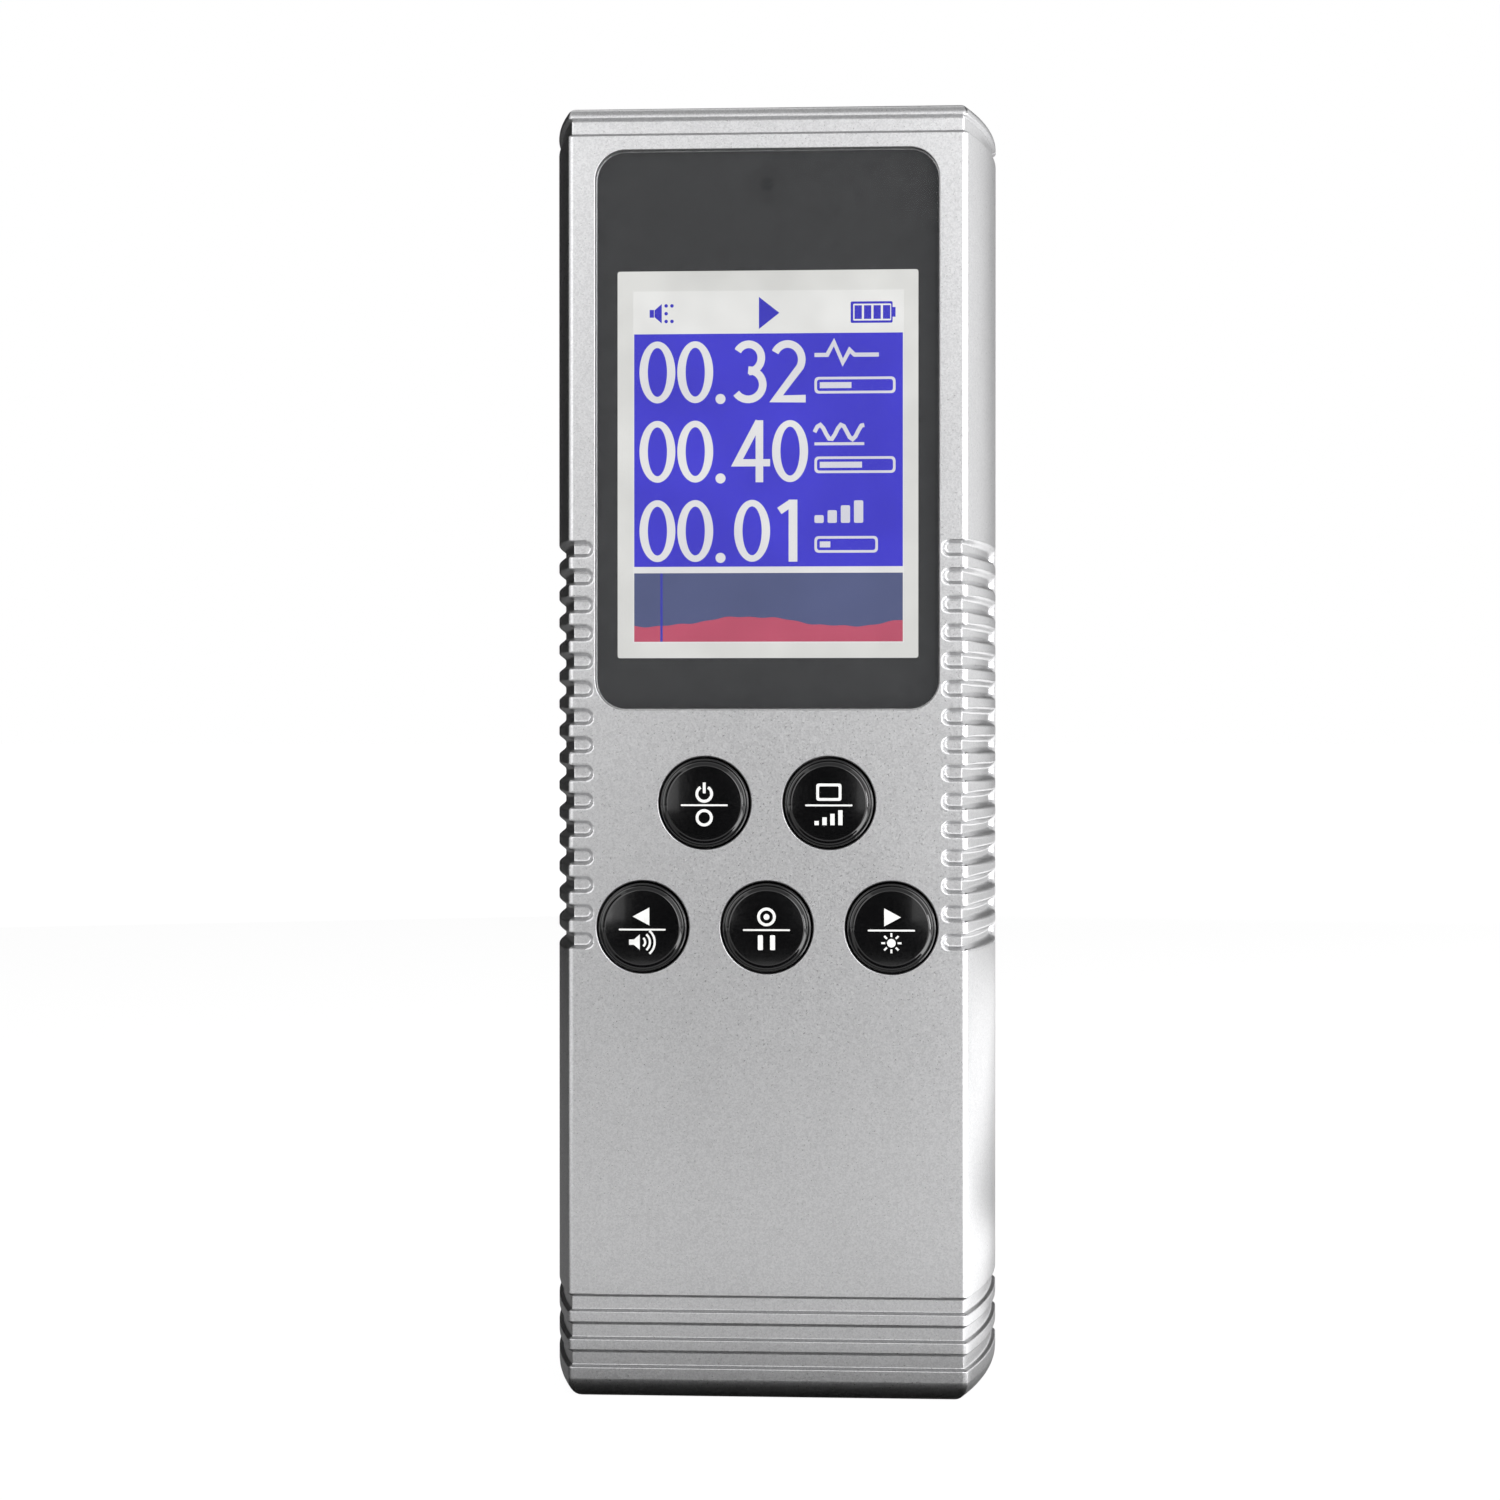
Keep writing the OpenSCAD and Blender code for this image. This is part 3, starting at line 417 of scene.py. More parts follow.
def notch_dent(x, y, z):
    """Depth of the grip notches at a place on the outer surface."""
    nearest = min(max(round((NOTCH_TOP_Z - z) / NOTCH_PITCH), 0), NOTCH_COUNT - 1)
    dz = z - (NOTCH_TOP_Z - nearest * NOTCH_PITCH)
    dx = max(NOTCH_ROUND_X - x, 0)
    change = smooth((y - FRONT_Y) / SLOPE_CHANGE)
    half_h = NOTCH_HALF_H + change * NOTCH_FLARE
    slope = FRONT_SLOPE + change * (SIDE_SLOPE - FRONT_SLOPE)
    open_end = smooth((NOTCH_END_Y - y) / NOTCH_END_SLOPE)
    return NOTCH_DEPTH * open_end * smooth((half_h - math.hypot(dx, dz)) / slope)


def row_heights():
    """Heights of the rows of points: close together where the surface bends."""
    beside = 0.05
    heights = {BOTTOM_R + beside}
    for a in angles(0, 90, 8):
        heights |= {BOTTOM_R * (1 - math.cos(a)), CASE_H - TOP_R * (1 - math.cos(a))}
    for low in GROOVES:
        high = low + GROOVE_H
        heights |= {low - beside, low + GROOVE_SLOPE + beside}
        heights |= {high + beside, high - GROOVE_SLOPE - beside}
        for share in shares(6):
            heights |= {low + share * GROOVE_SLOPE, high - share * GROOVE_SLOPE}
    reach = NOTCH_HALF_H + NOTCH_FLARE + 2 * beside
    top = NOTCH_TOP_Z + reach
    bottom = NOTCH_TOP_Z - (NOTCH_COUNT - 1) * NOTCH_PITCH - reach
    steps = round((top - bottom) / NOTCH_PITCH * NOTCH_ROWS)
    heights |= {bottom + (top - bottom) * i / steps for i in range(steps + 1)}
    for start, end, count in ((BOTTOM_GROOVES[-1] + GROOVE_H, bottom, 8), (top, TOP_GROOVE, 9)):
        heights |= {start + (end - start) * share for share in shares(count)}
    ordered = sorted(heights)
    return [z for i, z in enumerate(ordered) if i == 0 or z - ordered[i - 1] > SAME]


ROWS = row_heights()


def outer_surface(columns):
    """Rows of points up the right side of a cover."""
    outside = [column.place(0) for column in columns]
    surface = []
    for z in ROWS:
        row = []
        for column, (x, y) in zip(columns, outside):
            dent = column.groove * groove_dent(z) + notch_dent(x, y, z)
            place = column.place(end_inset(z) + dent + column.edge)
            row.append((*place, min(max(z, column.edge), CASE_H - column.edge)))
        surface.append(row)
    return surface


def mirrored(points):
    return [(-x, y, z) for x, y, z in points]


def both_sides(half_outline):
    """A whole outline from its right half, which runs from the bottom to the top."""
    return half_outline + [(-x, z) for x, z in reversed(half_outline)]


def cover_outside(skin, columns, panel_y, panel_low, panel_high, panel_holes):
    """A cover's outer surface, its flat panel and its two ends. Gives its outline at the parting line.

    The columns start beside the panel on the front cover, and end beside it on the rear cover.
    """
    panel_first = panel_y == FRONT_Y
    near, far = (0, -1) if panel_first else (-1, 0)
    edge_count = len(rim(PARTING_R))
    right = outer_surface(columns)
    skin.strip(right, closed=False)
    skin.strip([mirrored(row) for row in right], closed=False)
    seam = [(row[near], *mirrored([row[near]])) for row in right]
    skin.strip([pair for pair in seam if pair[0][2] <= panel_low + SAME], closed=False)
    skin.strip([pair for pair in seam if pair[0][2] >= panel_high - SAME], closed=False)
    between = [(p[0], p[2]) for p, _ in seam if panel_low - SAME <= p[2] <= panel_high + SAME]
    skin.flat(panel_y, both_sides(between), panel_holes)
    for end in (0, -1):
        ordered = right[end] if panel_first else right[end][::-1]
        cap = ordered[: len(ordered) - edge_count + 1]
        skin.face(mirrored(cap)[::-1] + cap)
        edge = ordered[len(ordered) - edge_count :]
        skin.strip([[p, *mirrored([p])] for p in edge], closed=False)
    return both_sides([(row[far][0], row[far][2]) for row in right])


def hollow(y, inset):
    """The hollow inside the case at one depth: a rectangle, as (x, z)."""
    half = side_half_width(y, inset)
    return rectangle(-half, half, inset, CASE_H - inset)


def hollow_ring(y, inset):
    return at_depth(hollow(y, inset), y)


def hole_rim(r, outer_y, inwards):
    """Profile of the rounded rim of a hole. Inwards is 1 in the front cover and -1 in the rear one."""
    return [(r + wider, outer_y + inwards * deep) for wider, deep in rim(HOLE_RIM_R)]


# ---------- front cover ----------
window_low, window_high = box_mm("display_window")
glass_low, glass_high = box_mm("lcd_glass")
RECESS_FLOOR_Y = box_mm("window_adhesive")[1].y
RECESS_MARGIN = 0.1
RECESS_RIM_R = 0.07
WINDOW_CORNER_R = 3
INNER_FRONT_Y = FRONT_Y + WALL
# The part of the display that the dark print leaves clear: x0, x1, z0, z1
APERTURE = (glass_low.x + 0.8, glass_high.x - 0.8, glass_low.z + 0.9, glass_high.z - 1.0)
OPENING_MARGIN = 0.4
LED_PLACE = middle("indicator_led")
LED_HOLE_R = 2.2
BUTTON_HOLE_R = 4.7
REBATE_INSET = 1.15
REBATE_Y = PARTING_Y - 1.3
CASE_POST_R = 3
BOARD_POST_R = 2.2
PILOT_R = 1


class ScrewGroup:
    """Four like screws of one CAD node. Their heads, of radius r, are at the high end of their depth."""

    def __init__(self, node, r, head_h):
        low, high = box_mm(node)
        self.places = [(x, z) for x in (low.x + r, high.x - r) for z in (low.z + r, high.z - r)]
        self.r = r
        self.tip_y = low.y
        self.top_y = high.y
        self.seat_y = high.y - head_h


CASE_SCREWS = ScrewGroup("case_screws", 2.3, 1.7)
BOARD_SCREWS = ScrewGroup("board_screws", 1.9, 1.3)


def window_outline(margin):
    """The window's outline, grown by a margin."""
    sides = (window_low.x, window_high.x, window_low.z, window_high.z)
    return rounded(*spread(sides, margin), WINDOW_CORNER_R + margin, 12)


def aperture_outline(margin):
    return rounded(*spread(APERTURE, margin), 0.25, 4)


def post(skin, place, r, end_y, hole_l):
    """A screw post that stands on the inside of the front cover, with a blind hole in its end."""
    lead = 0.25
    profile = [(r, INNER_FRONT_Y), (r, end_y - lead), (r - lead, end_y), (PILOT_R + lead, end_y)]
    profile += [(PILOT_R, end_y - lead), (PILOT_R, end_y - hole_l)]
    skin.lathe(place, profile, 40)
    skin.face(at_depth(circle(place, PILOT_R, 40), end_y - hole_l))


def make_front_cover():
    """The front cover: window recess, button holes, screw posts and two ribs beside the display."""
    skin = Skin()
    panel_holes = [window_outline(RECESS_MARGIN + RECESS_RIM_R)]
    panel_holes += [circle(place, BUTTON_HOLE_R + HOLE_RIM_R) for place in BUTTON_PLACES.values()]
    panel_low = BOTTOM_GROOVES[-1] + GROOVE_H
    edge = cover_outside(skin, front_columns(), FRONT_Y, panel_low, TOP_GROOVE, panel_holes)
    recess = [(RECESS_MARGIN + wider, FRONT_Y + deep) for wider, deep in rim(RECESS_RIM_R, 2)]
    recess.append((RECESS_MARGIN, RECESS_FLOOR_Y))
    skin.strip([at_depth(window_outline(margin), y) for margin, y in recess])
    opening = aperture_outline(OPENING_MARGIN)
    led_hole = circle(LED_PLACE, LED_HOLE_R, 40)
    skin.flat(RECESS_FLOOR_Y, window_outline(RECESS_MARGIN), [opening, led_hole])
    for loop in (opening, led_hole):
        skin.wall(loop, RECESS_FLOOR_Y, INNER_FRONT_Y)
    inner_holes = [opening, led_hole]
    for place in BUTTON_PLACES.values():
        skin.lathe(place, hole_rim(BUTTON_HOLE_R, FRONT_Y, 1) + [(BUTTON_HOLE_R, INNER_FRONT_Y)])
        inner_holes.append(circle(place, BUTTON_HOLE_R))
    board_y = box_mm("main_board")[0].y
    posts = [(CASE_SCREWS, CASE_POST_R, PARTING_Y - 0.2, 11), (BOARD_SCREWS, BOARD_POST_R, board_y, 3.4)]
    for screws, post_r, end_y, hole_l in posts:
        for place in screws.places:
            post(skin, place, post_r, end_y, hole_l)
            inner_holes.append(circle(place, post_r, 40))
    frame_low, frame_high = box_mm("lcd_frame")
    for x0 in (frame_low.x - 1.1, frame_high.x + 0.1):
        rib = rectangle(x0, x0 + 1, frame_low.z + 6, frame_high.z - 6)
        skin.wall(rib, INNER_FRONT_Y, frame_high.y)
        skin.face(at_depth(rib, frame_high.y))
        inner_holes.append(rib)
    skin.flat(INNER_FRONT_Y, hollow(INNER_FRONT_Y, WALL), inner_holes)
    depths = [INNER_FRONT_Y + (REBATE_Y - INNER_FRONT_Y) * share for share in shares(10)]
    rebate = [hollow_ring(y, REBATE_INSET) for y in (REBATE_Y, PARTING_Y)]
    skin.strip([hollow_ring(y, WALL) for y in depths] + rebate)
    skin.flat(PARTING_Y, edge, [hollow(PARTING_Y, REBATE_INSET)])
    return skin.make("front_cover_shell")


# ---------- rear cover and battery door ----------
door_low, door_high = box_mm("battery_door")
DOOR_X = door_high.x
TAB_L = 2.1
DOOR_Z0 = door_low.z + TAB_L
DOOR_Z1 = door_high.z
DOOR_T = 1.7
DOOR_GAP = 0.3
LEDGE_Y = BACK_Y - DOOR_T - 0.1
DOOR = (-DOOR_X, DOOR_X, DOOR_Z0, DOOR_Z1)
BAY = spread(DOOR, -1.7)
BAY_WALL = 1.2
LEDGE_T = 1.4
CELLS = [box_mm("battery_" + name) for name in ("left", "middle", "right")]
CELL_XS = [(low.x + high.x) / 2 for low, high in CELLS]
CELL_Y = (CELLS[0][0].y + CELLS[0][1].y) / 2
TROUGH_R = (CELLS[0][1].y - CELLS[0][0].y) / 2 + 0.3
SCOOP_R = 7.5
SCOOP_RISE = 6.0
SCOOP_Z = DOOR_Z1 + 2.3
SOUND_PLACE = middle("buzzer_case")
SOUND_RING = 3.0
SOUND_R = 0.75
LATCH_X = 4
TAB_XS = (-8, 8)
TAB_HALF_W = 2.5


def scoop_y(x, z):
    """Depth of the finger scoop's round surface at a place."""
    return BACK_Y + SCOOP_RISE - math.sqrt(SCOOP_R**2 - x**2 - (z - SCOOP_Z) ** 2)


def scoop_edge(opening_z):
    """Edge of the scoop above the door opening, as (x, z): its arc from right to left, and the way back."""
    r = math.sqrt(SCOOP_R**2 - SCOOP_RISE**2)
    low = math.degrees(math.asin((opening_z - SCOOP_Z) / r))
    over = arc((0, SCOOP_Z), r, r, low, 180 - low, 32)
    x = over[0][0]
    along = [(-x + 2 * x * share, opening_z) for share in shares(16)]
    return over, along[1:-1]


def trough_floor(x):
    """Depth of the battery troughs' round floors at a place across the bay."""
    offset = min(abs(x - cell) for cell in CELL_XS)
    return CELL_Y - math.sqrt(max(TROUGH_R**2 - offset**2, 0))


def bay_section():
    """The battery bay seen from its end, as (x, y): down one side, across the troughs, and up again."""
    x1 = BAY[1]
    edge = CELL_XS[-1] + TROUGH_R
    floor = [(x, trough_floor(x)) for x in (-edge + 2 * edge * share for share in shares(108))]
    return [(-x1, LEDGE_Y), (-x1, CELL_Y), *floor, (x1, CELL_Y), (x1, LEDGE_Y)]


def add_bay(skin):
    """The battery bay: its troughs, end walls, ledge and outside. Gives its outline in the inner face."""
    section = bay_section()
    ends = [[(x, y, z) for x, y in section] for z in BAY[2:]]
    skin.strip(ends, closed=False)
    for end in ends:
        skin.face(end)
    skin.flat(LEDGE_Y, rectangle(*spread(DOOR, DOOR_GAP)), [rectangle(*BAY)])
    ledge = rectangle(*spread(DOOR, DOOR_GAP + 1))
    ledge_y = LEDGE_Y - LEDGE_T
    outside = rectangle(*spread(BAY, BAY_WALL))
    bay_floor_y = CELL_Y - TROUGH_R - BAY_WALL
    skin.wall(ledge, BACK_Y - WALL, ledge_y)
    skin.flat(ledge_y, ledge, [outside])
    skin.wall(outside, ledge_y, bay_floor_y)
    skin.face(at_depth(outside, bay_floor_y))
    return ledge


def add_door_opening(skin):
    """Walls of the door's opening, with the finger scoop at its top. Gives its outline in the back face."""
    _, x, z0, z1 = spread(DOOR, DOOR_GAP)
    over, along = scoop_edge(z1)
    meet = [(px, scoop_y(px, z1), z1) for px, _ in along]
    skin.face([(x, BACK_Y, z0), (-x, BACK_Y, z0), (-x, LEDGE_Y, z0), (x, LEDGE_Y, z0)])
    for side in (-x, x):
        skin.face([(side, BACK_Y, z0), (side, BACK_Y, z1), (side, LEDGE_Y, z1), (side, LEDGE_Y, z0)])
    left, right = over[-1], over[0]
    wall = [(-x, BACK_Y, z1), (left[0], BACK_Y, z1), *meet, (right[0], BACK_Y, z1), (x, BACK_Y, z1)]
    skin.face(wall + [(x, LEDGE_Y, z1), (-x, LEDGE_Y, z1)])
    boundary = over + along
    centre_z = (z1 + SCOOP_Z) / 2
    rings = []
    for share in shares(8):
        pulled = [(px * share, centre_z + (pz - centre_z) * share) for px, pz in boundary]
        rings.append([(px, scoop_y(px, pz), pz) for px, pz in pulled])
    skin.strip(rings)
    return [(-x, z0), (x, z0), (x, z1), *over, (-x, z1)]


def make_rear_cover():
    """The rear cover: door opening and scoop, battery bay, screw bores, sound holes, and its lip."""
    skin = Skin()
    lip_inset = 1.2
    lip_y = PARTING_Y - 1.2
    inner_y = BACK_Y - WALL
    bore_r = CASE_SCREWS.r + 0.2
    clear_r = 1.3
    post_r = CASE_POST_R
    bore = [(bore_r, CASE_SCREWS.seat_y), (clear_r, CASE_SCREWS.seat_y), (clear_r, PARTING_Y)]
    bore += [(post_r, PARTING_Y), (post_r, inner_y)]
    sound_places = [SOUND_PLACE] + circle(SOUND_PLACE, SOUND_RING, 6)
    # Places of the holes, their radius outside and inside, the rest of their profile, and their corners
    groups = [(CASE_SCREWS.places, bore_r, post_r, bore, 48)]
    groups.append((sound_places, SOUND_R, SOUND_R, [(SOUND_R, inner_y)], 24))
    panel_holes = [add_door_opening(skin)]
    for places, r, _, _, count in groups:
        panel_holes += [circle(place, r + HOLE_RIM_R, count) for place in places]
    edge = cover_outside(skin, rear_columns(), BACK_Y, BOTTOM_R, CASE_H - TOP_R, panel_holes)
    inner_holes = [add_bay(skin)]
    for places, r, inner_r, profile, count in groups:
        for place in places:
            skin.lathe(place, hole_rim(r, BACK_Y, -1) + profile, count)
            inner_holes.append(circle(place, inner_r, count))
    skin.flat(inner_y, hollow(inner_y, WALL), inner_holes)
    depths = [lip_y + (inner_y - lip_y) * share for share in shares(4)]
    lip = [hollow_ring(y, lip_inset) for y in (PARTING_Y, lip_y)]
    skin.strip(lip + [hollow_ring(y, WALL) for y in depths])
    skin.flat(PARTING_Y, edge, [hollow(PARTING_Y, lip_inset)])
    cover = skin.make("rear_cover_shell")
    cut_out(cover, slot_cutters())
    return cover


def slot_cutters():
    """The slots that the door's two tabs and its latch work in."""
    skin = Skin()
    room = 0.3
    over = 0.1
    z_top = DOOR_Z1 + DOOR_GAP - 0.02
    latch_x = LATCH_X + room
    skin.plate(LEDGE_Y - 1.6, LEDGE_Y + over, rectangle(-latch_x, latch_x, BAY[3] - over, z_top))
    for x in TAB_XS:
        reach = TAB_HALF_W + room
        slot = rectangle(x - reach, x + reach, DOOR_Z0 - TAB_L - room, BAY[2] + over)
        skin.plate(WIDEST_Y, LEDGE_Y + over, slot)
    return skin.make("slot_cutters")


def door_ring(y):
    """Outline of the battery door at one depth: a half-round lower edge and small roundings elsewhere."""
    edge_r = 0.22
    hinge_r = DOOR_T / 2
    hinge_y = BACK_Y - hinge_r
    near = max(0, edge_r - min(BACK_Y - y, y - (BACK_Y - DOOR_T)))
    inset = edge_r - math.sqrt(edge_r**2 - near**2)
    lift = hinge_r - math.sqrt(max(hinge_r**2 - (y - hinge_y) ** 2, 0))
    half = DOOR_X - inset
    return at_depth(rounded(-half, half, DOOR_Z0 + lift, DOOR_Z1 - inset, 0.7 - inset, 5), y)


def make_battery_door():
    skin = Skin()
    half_t = DOOR_T / 2
    skin.solid([door_ring(BACK_Y - half_t + half_t * math.sin(a)) for a in angles(-90, 90, 18)])
    door = skin.make("battery_door_shell")
    cut_out(door, door_hooks(), "UNION")
    cut_out(door, door_cutters())
    return door


def door_hooks():
    """The latch at the door's upper edge and the two tabs below its lower edge."""
    skin = Skin()
    plate_y = BACK_Y - DOOR_T
    latch = rounded(-LATCH_X, LATCH_X, BAY[3] + 0.3, DOOR_Z1 - 0.1, 0.3, 3)
    skin.plate(LEDGE_Y - 1.3, plate_y + 0.2, latch)
    tab_y = BACK_Y - WALL - 0.1
    tab_t = 0.9
    root_y = plate_y + 0.3
    hook_z = DOOR_Z0 - TAB_L
    heel_z = DOOR_Z0 + 0.65
    root_z = heel_z + 0.8
    side = [(tab_y - tab_t, hook_z), (tab_y, hook_z), (tab_y, heel_z), (root_y, heel_z)]
    side += [(root_y, root_z), (tab_y - tab_t, root_z)]
    for x in TAB_XS:
        skin.solid([[(x + dx, y, z) for y, z in side] for dx in (-TAB_HALF_W, TAB_HALF_W)])
    return skin.make("door_hooks")


def door_cutters():
    """Four fingertip lines and the door's part of the finger scoop."""
    skin = Skin()
    line_half_w = 8
    line_h = 0.9
    # How deep each ring of a line is, and how much wider than the line
    section = ((-0.5, 0.12), (0, 0.12), (0.1, 0.02), (0.3, -0.02), (0.4, -0.14))
    for i in range(4):
        z = DOOR_Z1 - 7.2 - i * 2.2
        sides = (-line_half_w, line_half_w, z, z + line_h)
        rings = []
        for deep, wider in section:
            outline = rounded(*spread(sides, wider), 0.44 + wider, 5)
            rings.append(at_depth(outline, BACK_Y - deep))
        skin.solid(rings)
    ball_y = BACK_Y + SCOOP_RISE
    ball = [(SCOOP_R * math.cos(a), ball_y + SCOOP_R * math.sin(a)) for a in angles(-90, 90, 36)]
    skin.lathe((0, SCOOP_Z), ball, 72)
    return skin.make("door_cutters")


# ---------- window and display ----------
LCD_Y = glass_low.y
ACTIVE_HALF_W = 13.8
ACTIVE_TOP = glass_high.z - 3.5
ACTIVE_BOTTOM = glass_low.z + 2.6
FIELD_TOP = ACTIVE_TOP - 3.8
FIELD_BOTTOM = ACTIVE_BOTTOM + 7.7
GRAPH_TOP = ACTIVE_BOTTOM + 7.05
LAYER = 0.02

DIGIT_H = 6.35
DIGIT_W = 3.7
DIGIT_STEP = 3.9
DIGIT_PEN = 0.78
POINT_STEP = 1.95
READINGS = ("00.32", "00.40", "00.01")
READING_X = -13.25
READING_TOP = FIELD_TOP - 0.75
READING_PITCH = 8.15


def make_window():
    """The clear sheet, with a fine bevel round its front edge."""
    skin = Skin()
    bevel = 0.18
    rings = [at_depth(window_outline(-wider), window_low.y + deep) for wider, deep in rim(bevel)]
    skin.solid(rings + [at_depth(window_outline(0), window_high.y)])
    return skin.make("window_sheet")


def make_window_print():
    """The dark print, a little behind the clear sheet so that their faces don't meet."""
    skin = Skin()
    low, high = box_mm("window_mask")
    skin.plate(low.y + 0.03, high.y, window_outline(-0.02), [aperture_outline(0)])
    return skin.make("window_print_sheet")


def layer(name, level, shapes):
    """One thin layer of the picture, this many levels before the glass. A shape is (outline, holes)."""
    skin = Skin()
    front = LCD_Y - (level + 1) * LAYER
    for outline, holes in shapes:
        skin.plate(front, front + LAYER * 0.9, outline, holes)
    return skin.make(name)


def moved_shape(shape, x, z):
    outline, holes = shape
    return moved(outline, x, z), [moved(hole, x, z) for hole in holes]


def digit_shapes(digit):
    """Outlines of one tall figure, standing at the origin."""
    half_w = DIGIT_W / 2
    half_h = DIGIT_H / 2
    pen = DIGIT_PEN
    if digit == "0":
        outer = arc((half_w, half_h), half_w, half_h, 0, 360, 48)[:-1]
        hole = arc((half_w, half_h), half_w - pen * 1.1, half_h - pen * 0.85, 0, 360, 48)[:-1]
        return [(outer, [hole])]
    if digit == "1":
        flag = [(0.75, DIGIT_H - 1.15), (1.9, DIGIT_H - pen / 2), (2.15, DIGIT_H - pen / 2)]
        stem = [(2.15, DIGIT_H), (2.15, 0)]
        return [(stroke(flag, pen), []), (stroke(stem, pen * 1.15), [])]
    if digit == "2":
        top = arc((1.6, DIGIT_H - 1.95), 1.45, 1.6, 152, -28, 20)
        return [(stroke(top + [(0.42, pen / 2), (3.45, pen / 2)], pen), [])]
    if digit == "3":
        upper = arc((1.5, DIGIT_H - 1.75), 1.3, 1.4, 150, -90, 20)
        lower = arc((1.45, 1.85), 1.5, 1.5, 90, -145, 20)
        return [(stroke(upper, pen), []), (stroke(lower, pen), [])]
    if digit == "4":
        sloping = [(2.55, DIGIT_H - 0.1), (0.3, 2.0), (3.7, 2.0)]
        return [(stroke(sloping, pen * 0.95), []), (stroke([(2.6, DIGIT_H), (2.6, 0)], pen), [])]
    return [(circle((0.55, pen / 2 + 0.02), 0.52, 20), [])]


def reading_shapes():
    """The three readings, as generic figures."""
    shapes = []
    for row, reading in enumerate(READINGS):
        x = READING_X
        z = READING_TOP - DIGIT_H - row * READING_PITCH
        for digit in reading:
            shapes += [moved_shape(shape, x, z) for shape in digit_shapes(digit)]
            x += POINT_STEP if digit == "." else DIGIT_STEP
    return shapes


def gauge(x0, x1, z, level):
    """A bar gauge filled up to a share of its length."""
    height = 1.7
    pen = 0.26
    inner = rounded(x0 + pen, x1 - pen, z + pen, z + height - pen, 0.25, 3)
    margin = 2.1 * pen
    end = x0 + margin + (x1 - x0 - 2 * margin) * level
    filled = rectangle(x0 + margin, end, z + margin, z + height - margin)
    return [(rounded(x0, x1, z, z + height, 0.4, 3), [inner]), (filled, [])]


def unit_shapes():
    """Small generic signs beside the readings: a pulse, a wave and a stack, each over a bar gauge."""
    x = 4.75
    pen = 0.42
    beat = [(0, 0.9), (1.3, 0.9), (2, 2.2), (2.9, 0.1), (3.6, 1.4), (4.1, 0.9), (6.6, 0.9)]
    wave = [(i * 0.3, 1.15 + 0.75 * math.sin(i * 0.85)) for i in range(18)]
    bars = [rounded(i * 1.35, i * 1.35 + 0.95, 0, 0.8 + i * 0.5, 0.15, 3) for i in range(4)]
    # The signs of each row, and the length and filling of its gauge
    rows = [([stroke(beat, pen)], 8.3, 0.45)]
    rows.append(([stroke(wave, pen), rectangle(0, 5.1, -0.2, 0.1)], 8.3, 0.6))
    rows.append((bars, 6.5, 0.2))
    shapes = []
    for row, (signs, length, level) in enumerate(rows):
        z = READING_TOP - row * READING_PITCH
        shapes += [(moved(sign, x, z - 2.4), []) for sign in signs]
        shapes += gauge(x, x + length, z - DIGIT_H + 0.9, level)
    return shapes


def status_shapes():
    """Status signs over the readings: a sounder, a triangle and a battery with four cells."""
    z = FIELD_TOP + 2.1
    dots = [(-10.5, -0.8), (-10.5, 0), (-10.5, 0.8), (-9.9, -0.8), (-9.9, 0.8)]
    signs = [rectangle(-12.2, -11.75, z - 0.4, z + 0.4)]
    signs.append([(-11.7, z - 0.35), (-10.95, z - 1.0), (-10.95, z + 1.0), (-11.7, z + 0.35)])
    signs += [circle((x, z + dz), 0.19, 10) for x, dz in dots]
    signs.append([(-0.95, z - 1.65), (1.15, z), (-0.95, z + 1.65)])
    battery = rounded(8.45, 12.75, z - 1.1, z + 1.1, 0.15, 3)
    battery_hole = rounded(8.72, 12.6, z - 0.86, z + 0.86, 0.1, 3)
    cells = [rectangle(8.85 + i * 0.97, 9.6 + i * 0.97, z - 0.7, z + 0.7) for i in range(4)]
    cells.append(rectangle(12.75, 13.05, z - 0.5, z + 0.5))
    return [(sign, []) for sign in signs] + [(battery, [battery_hole])] + [(cell, []) for cell in cells]


def hill_z(x):
    """Height of the plotted curve at a place across the graph."""
    swell = 0.5 * math.cos(math.tau * (x + 2) / 20)
    ripple = 0.07 * math.sin(1.1 * x) + 0.05 * math.sin(2.6 * x)
    return ACTIVE_BOTTOM + 2.07 + swell + ripple


def picture_layers():
    """The lit picture's layers: name, level before the display's glass, screen colour, light and shapes."""
    w = ACTIVE_HALF_W
    bottom = ACTIVE_BOTTOM
    pale = rounded(*spread(APERTURE, 0.15), 0.3, 3)
    active = rectangle(-w - 0.1, w + 0.1, bottom - 0.1, ACTIVE_TOP + 0.6)
    rule = [(rectangle(-w, w, GRAPH_TOP + 0.05, FIELD_BOTTOM - 0.05), [])]
    rule.append((rectangle(-w - 0.15, w + 0.15, bottom - 0.15, bottom - 0.02), []))
    curve = [(x, hill_z(x)) for x in (-w + 2 * w * share for share in shares(56))]
    hills = [(w, bottom), *reversed(curve), (-w, bottom)]
    return [
        ("ground", 0, (244, 244, 242), 1.08, [(pale, [])]),
        ("margin", 1, (241, 241, 238), 1.0, [(pale, [active])]),
        ("field", 1, (72, 66, 222), 1.0, [(rectangle(-w, w, FIELD_BOTTOM, FIELD_TOP), [])]),
        ("graph", 1, (92, 100, 142), 1.0, [(rectangle(-w, w, bottom, GRAPH_TOP), [])]),
        ("rule", 1, (250, 250, 252), 1.0, rule),
        ("hills", 2, (206, 92, 118), 1.0, [(hills, [])]),
        ("marker", 3, (70, 72, 190), 1.0, [(rectangle(-11.1, -10.86, bottom, GRAPH_TOP), [])]),
        ("figures", 2, (250, 250, 255), 1.0, reading_shapes()),
        ("units", 2, (240, 240, 252), 1.0, unit_shapes()),
        ("status", 1, (66, 62, 206), 1.0, status_shapes()),
    ]


# ---------- buttons ----------
INK = 0.02
CAP_R = 4.5


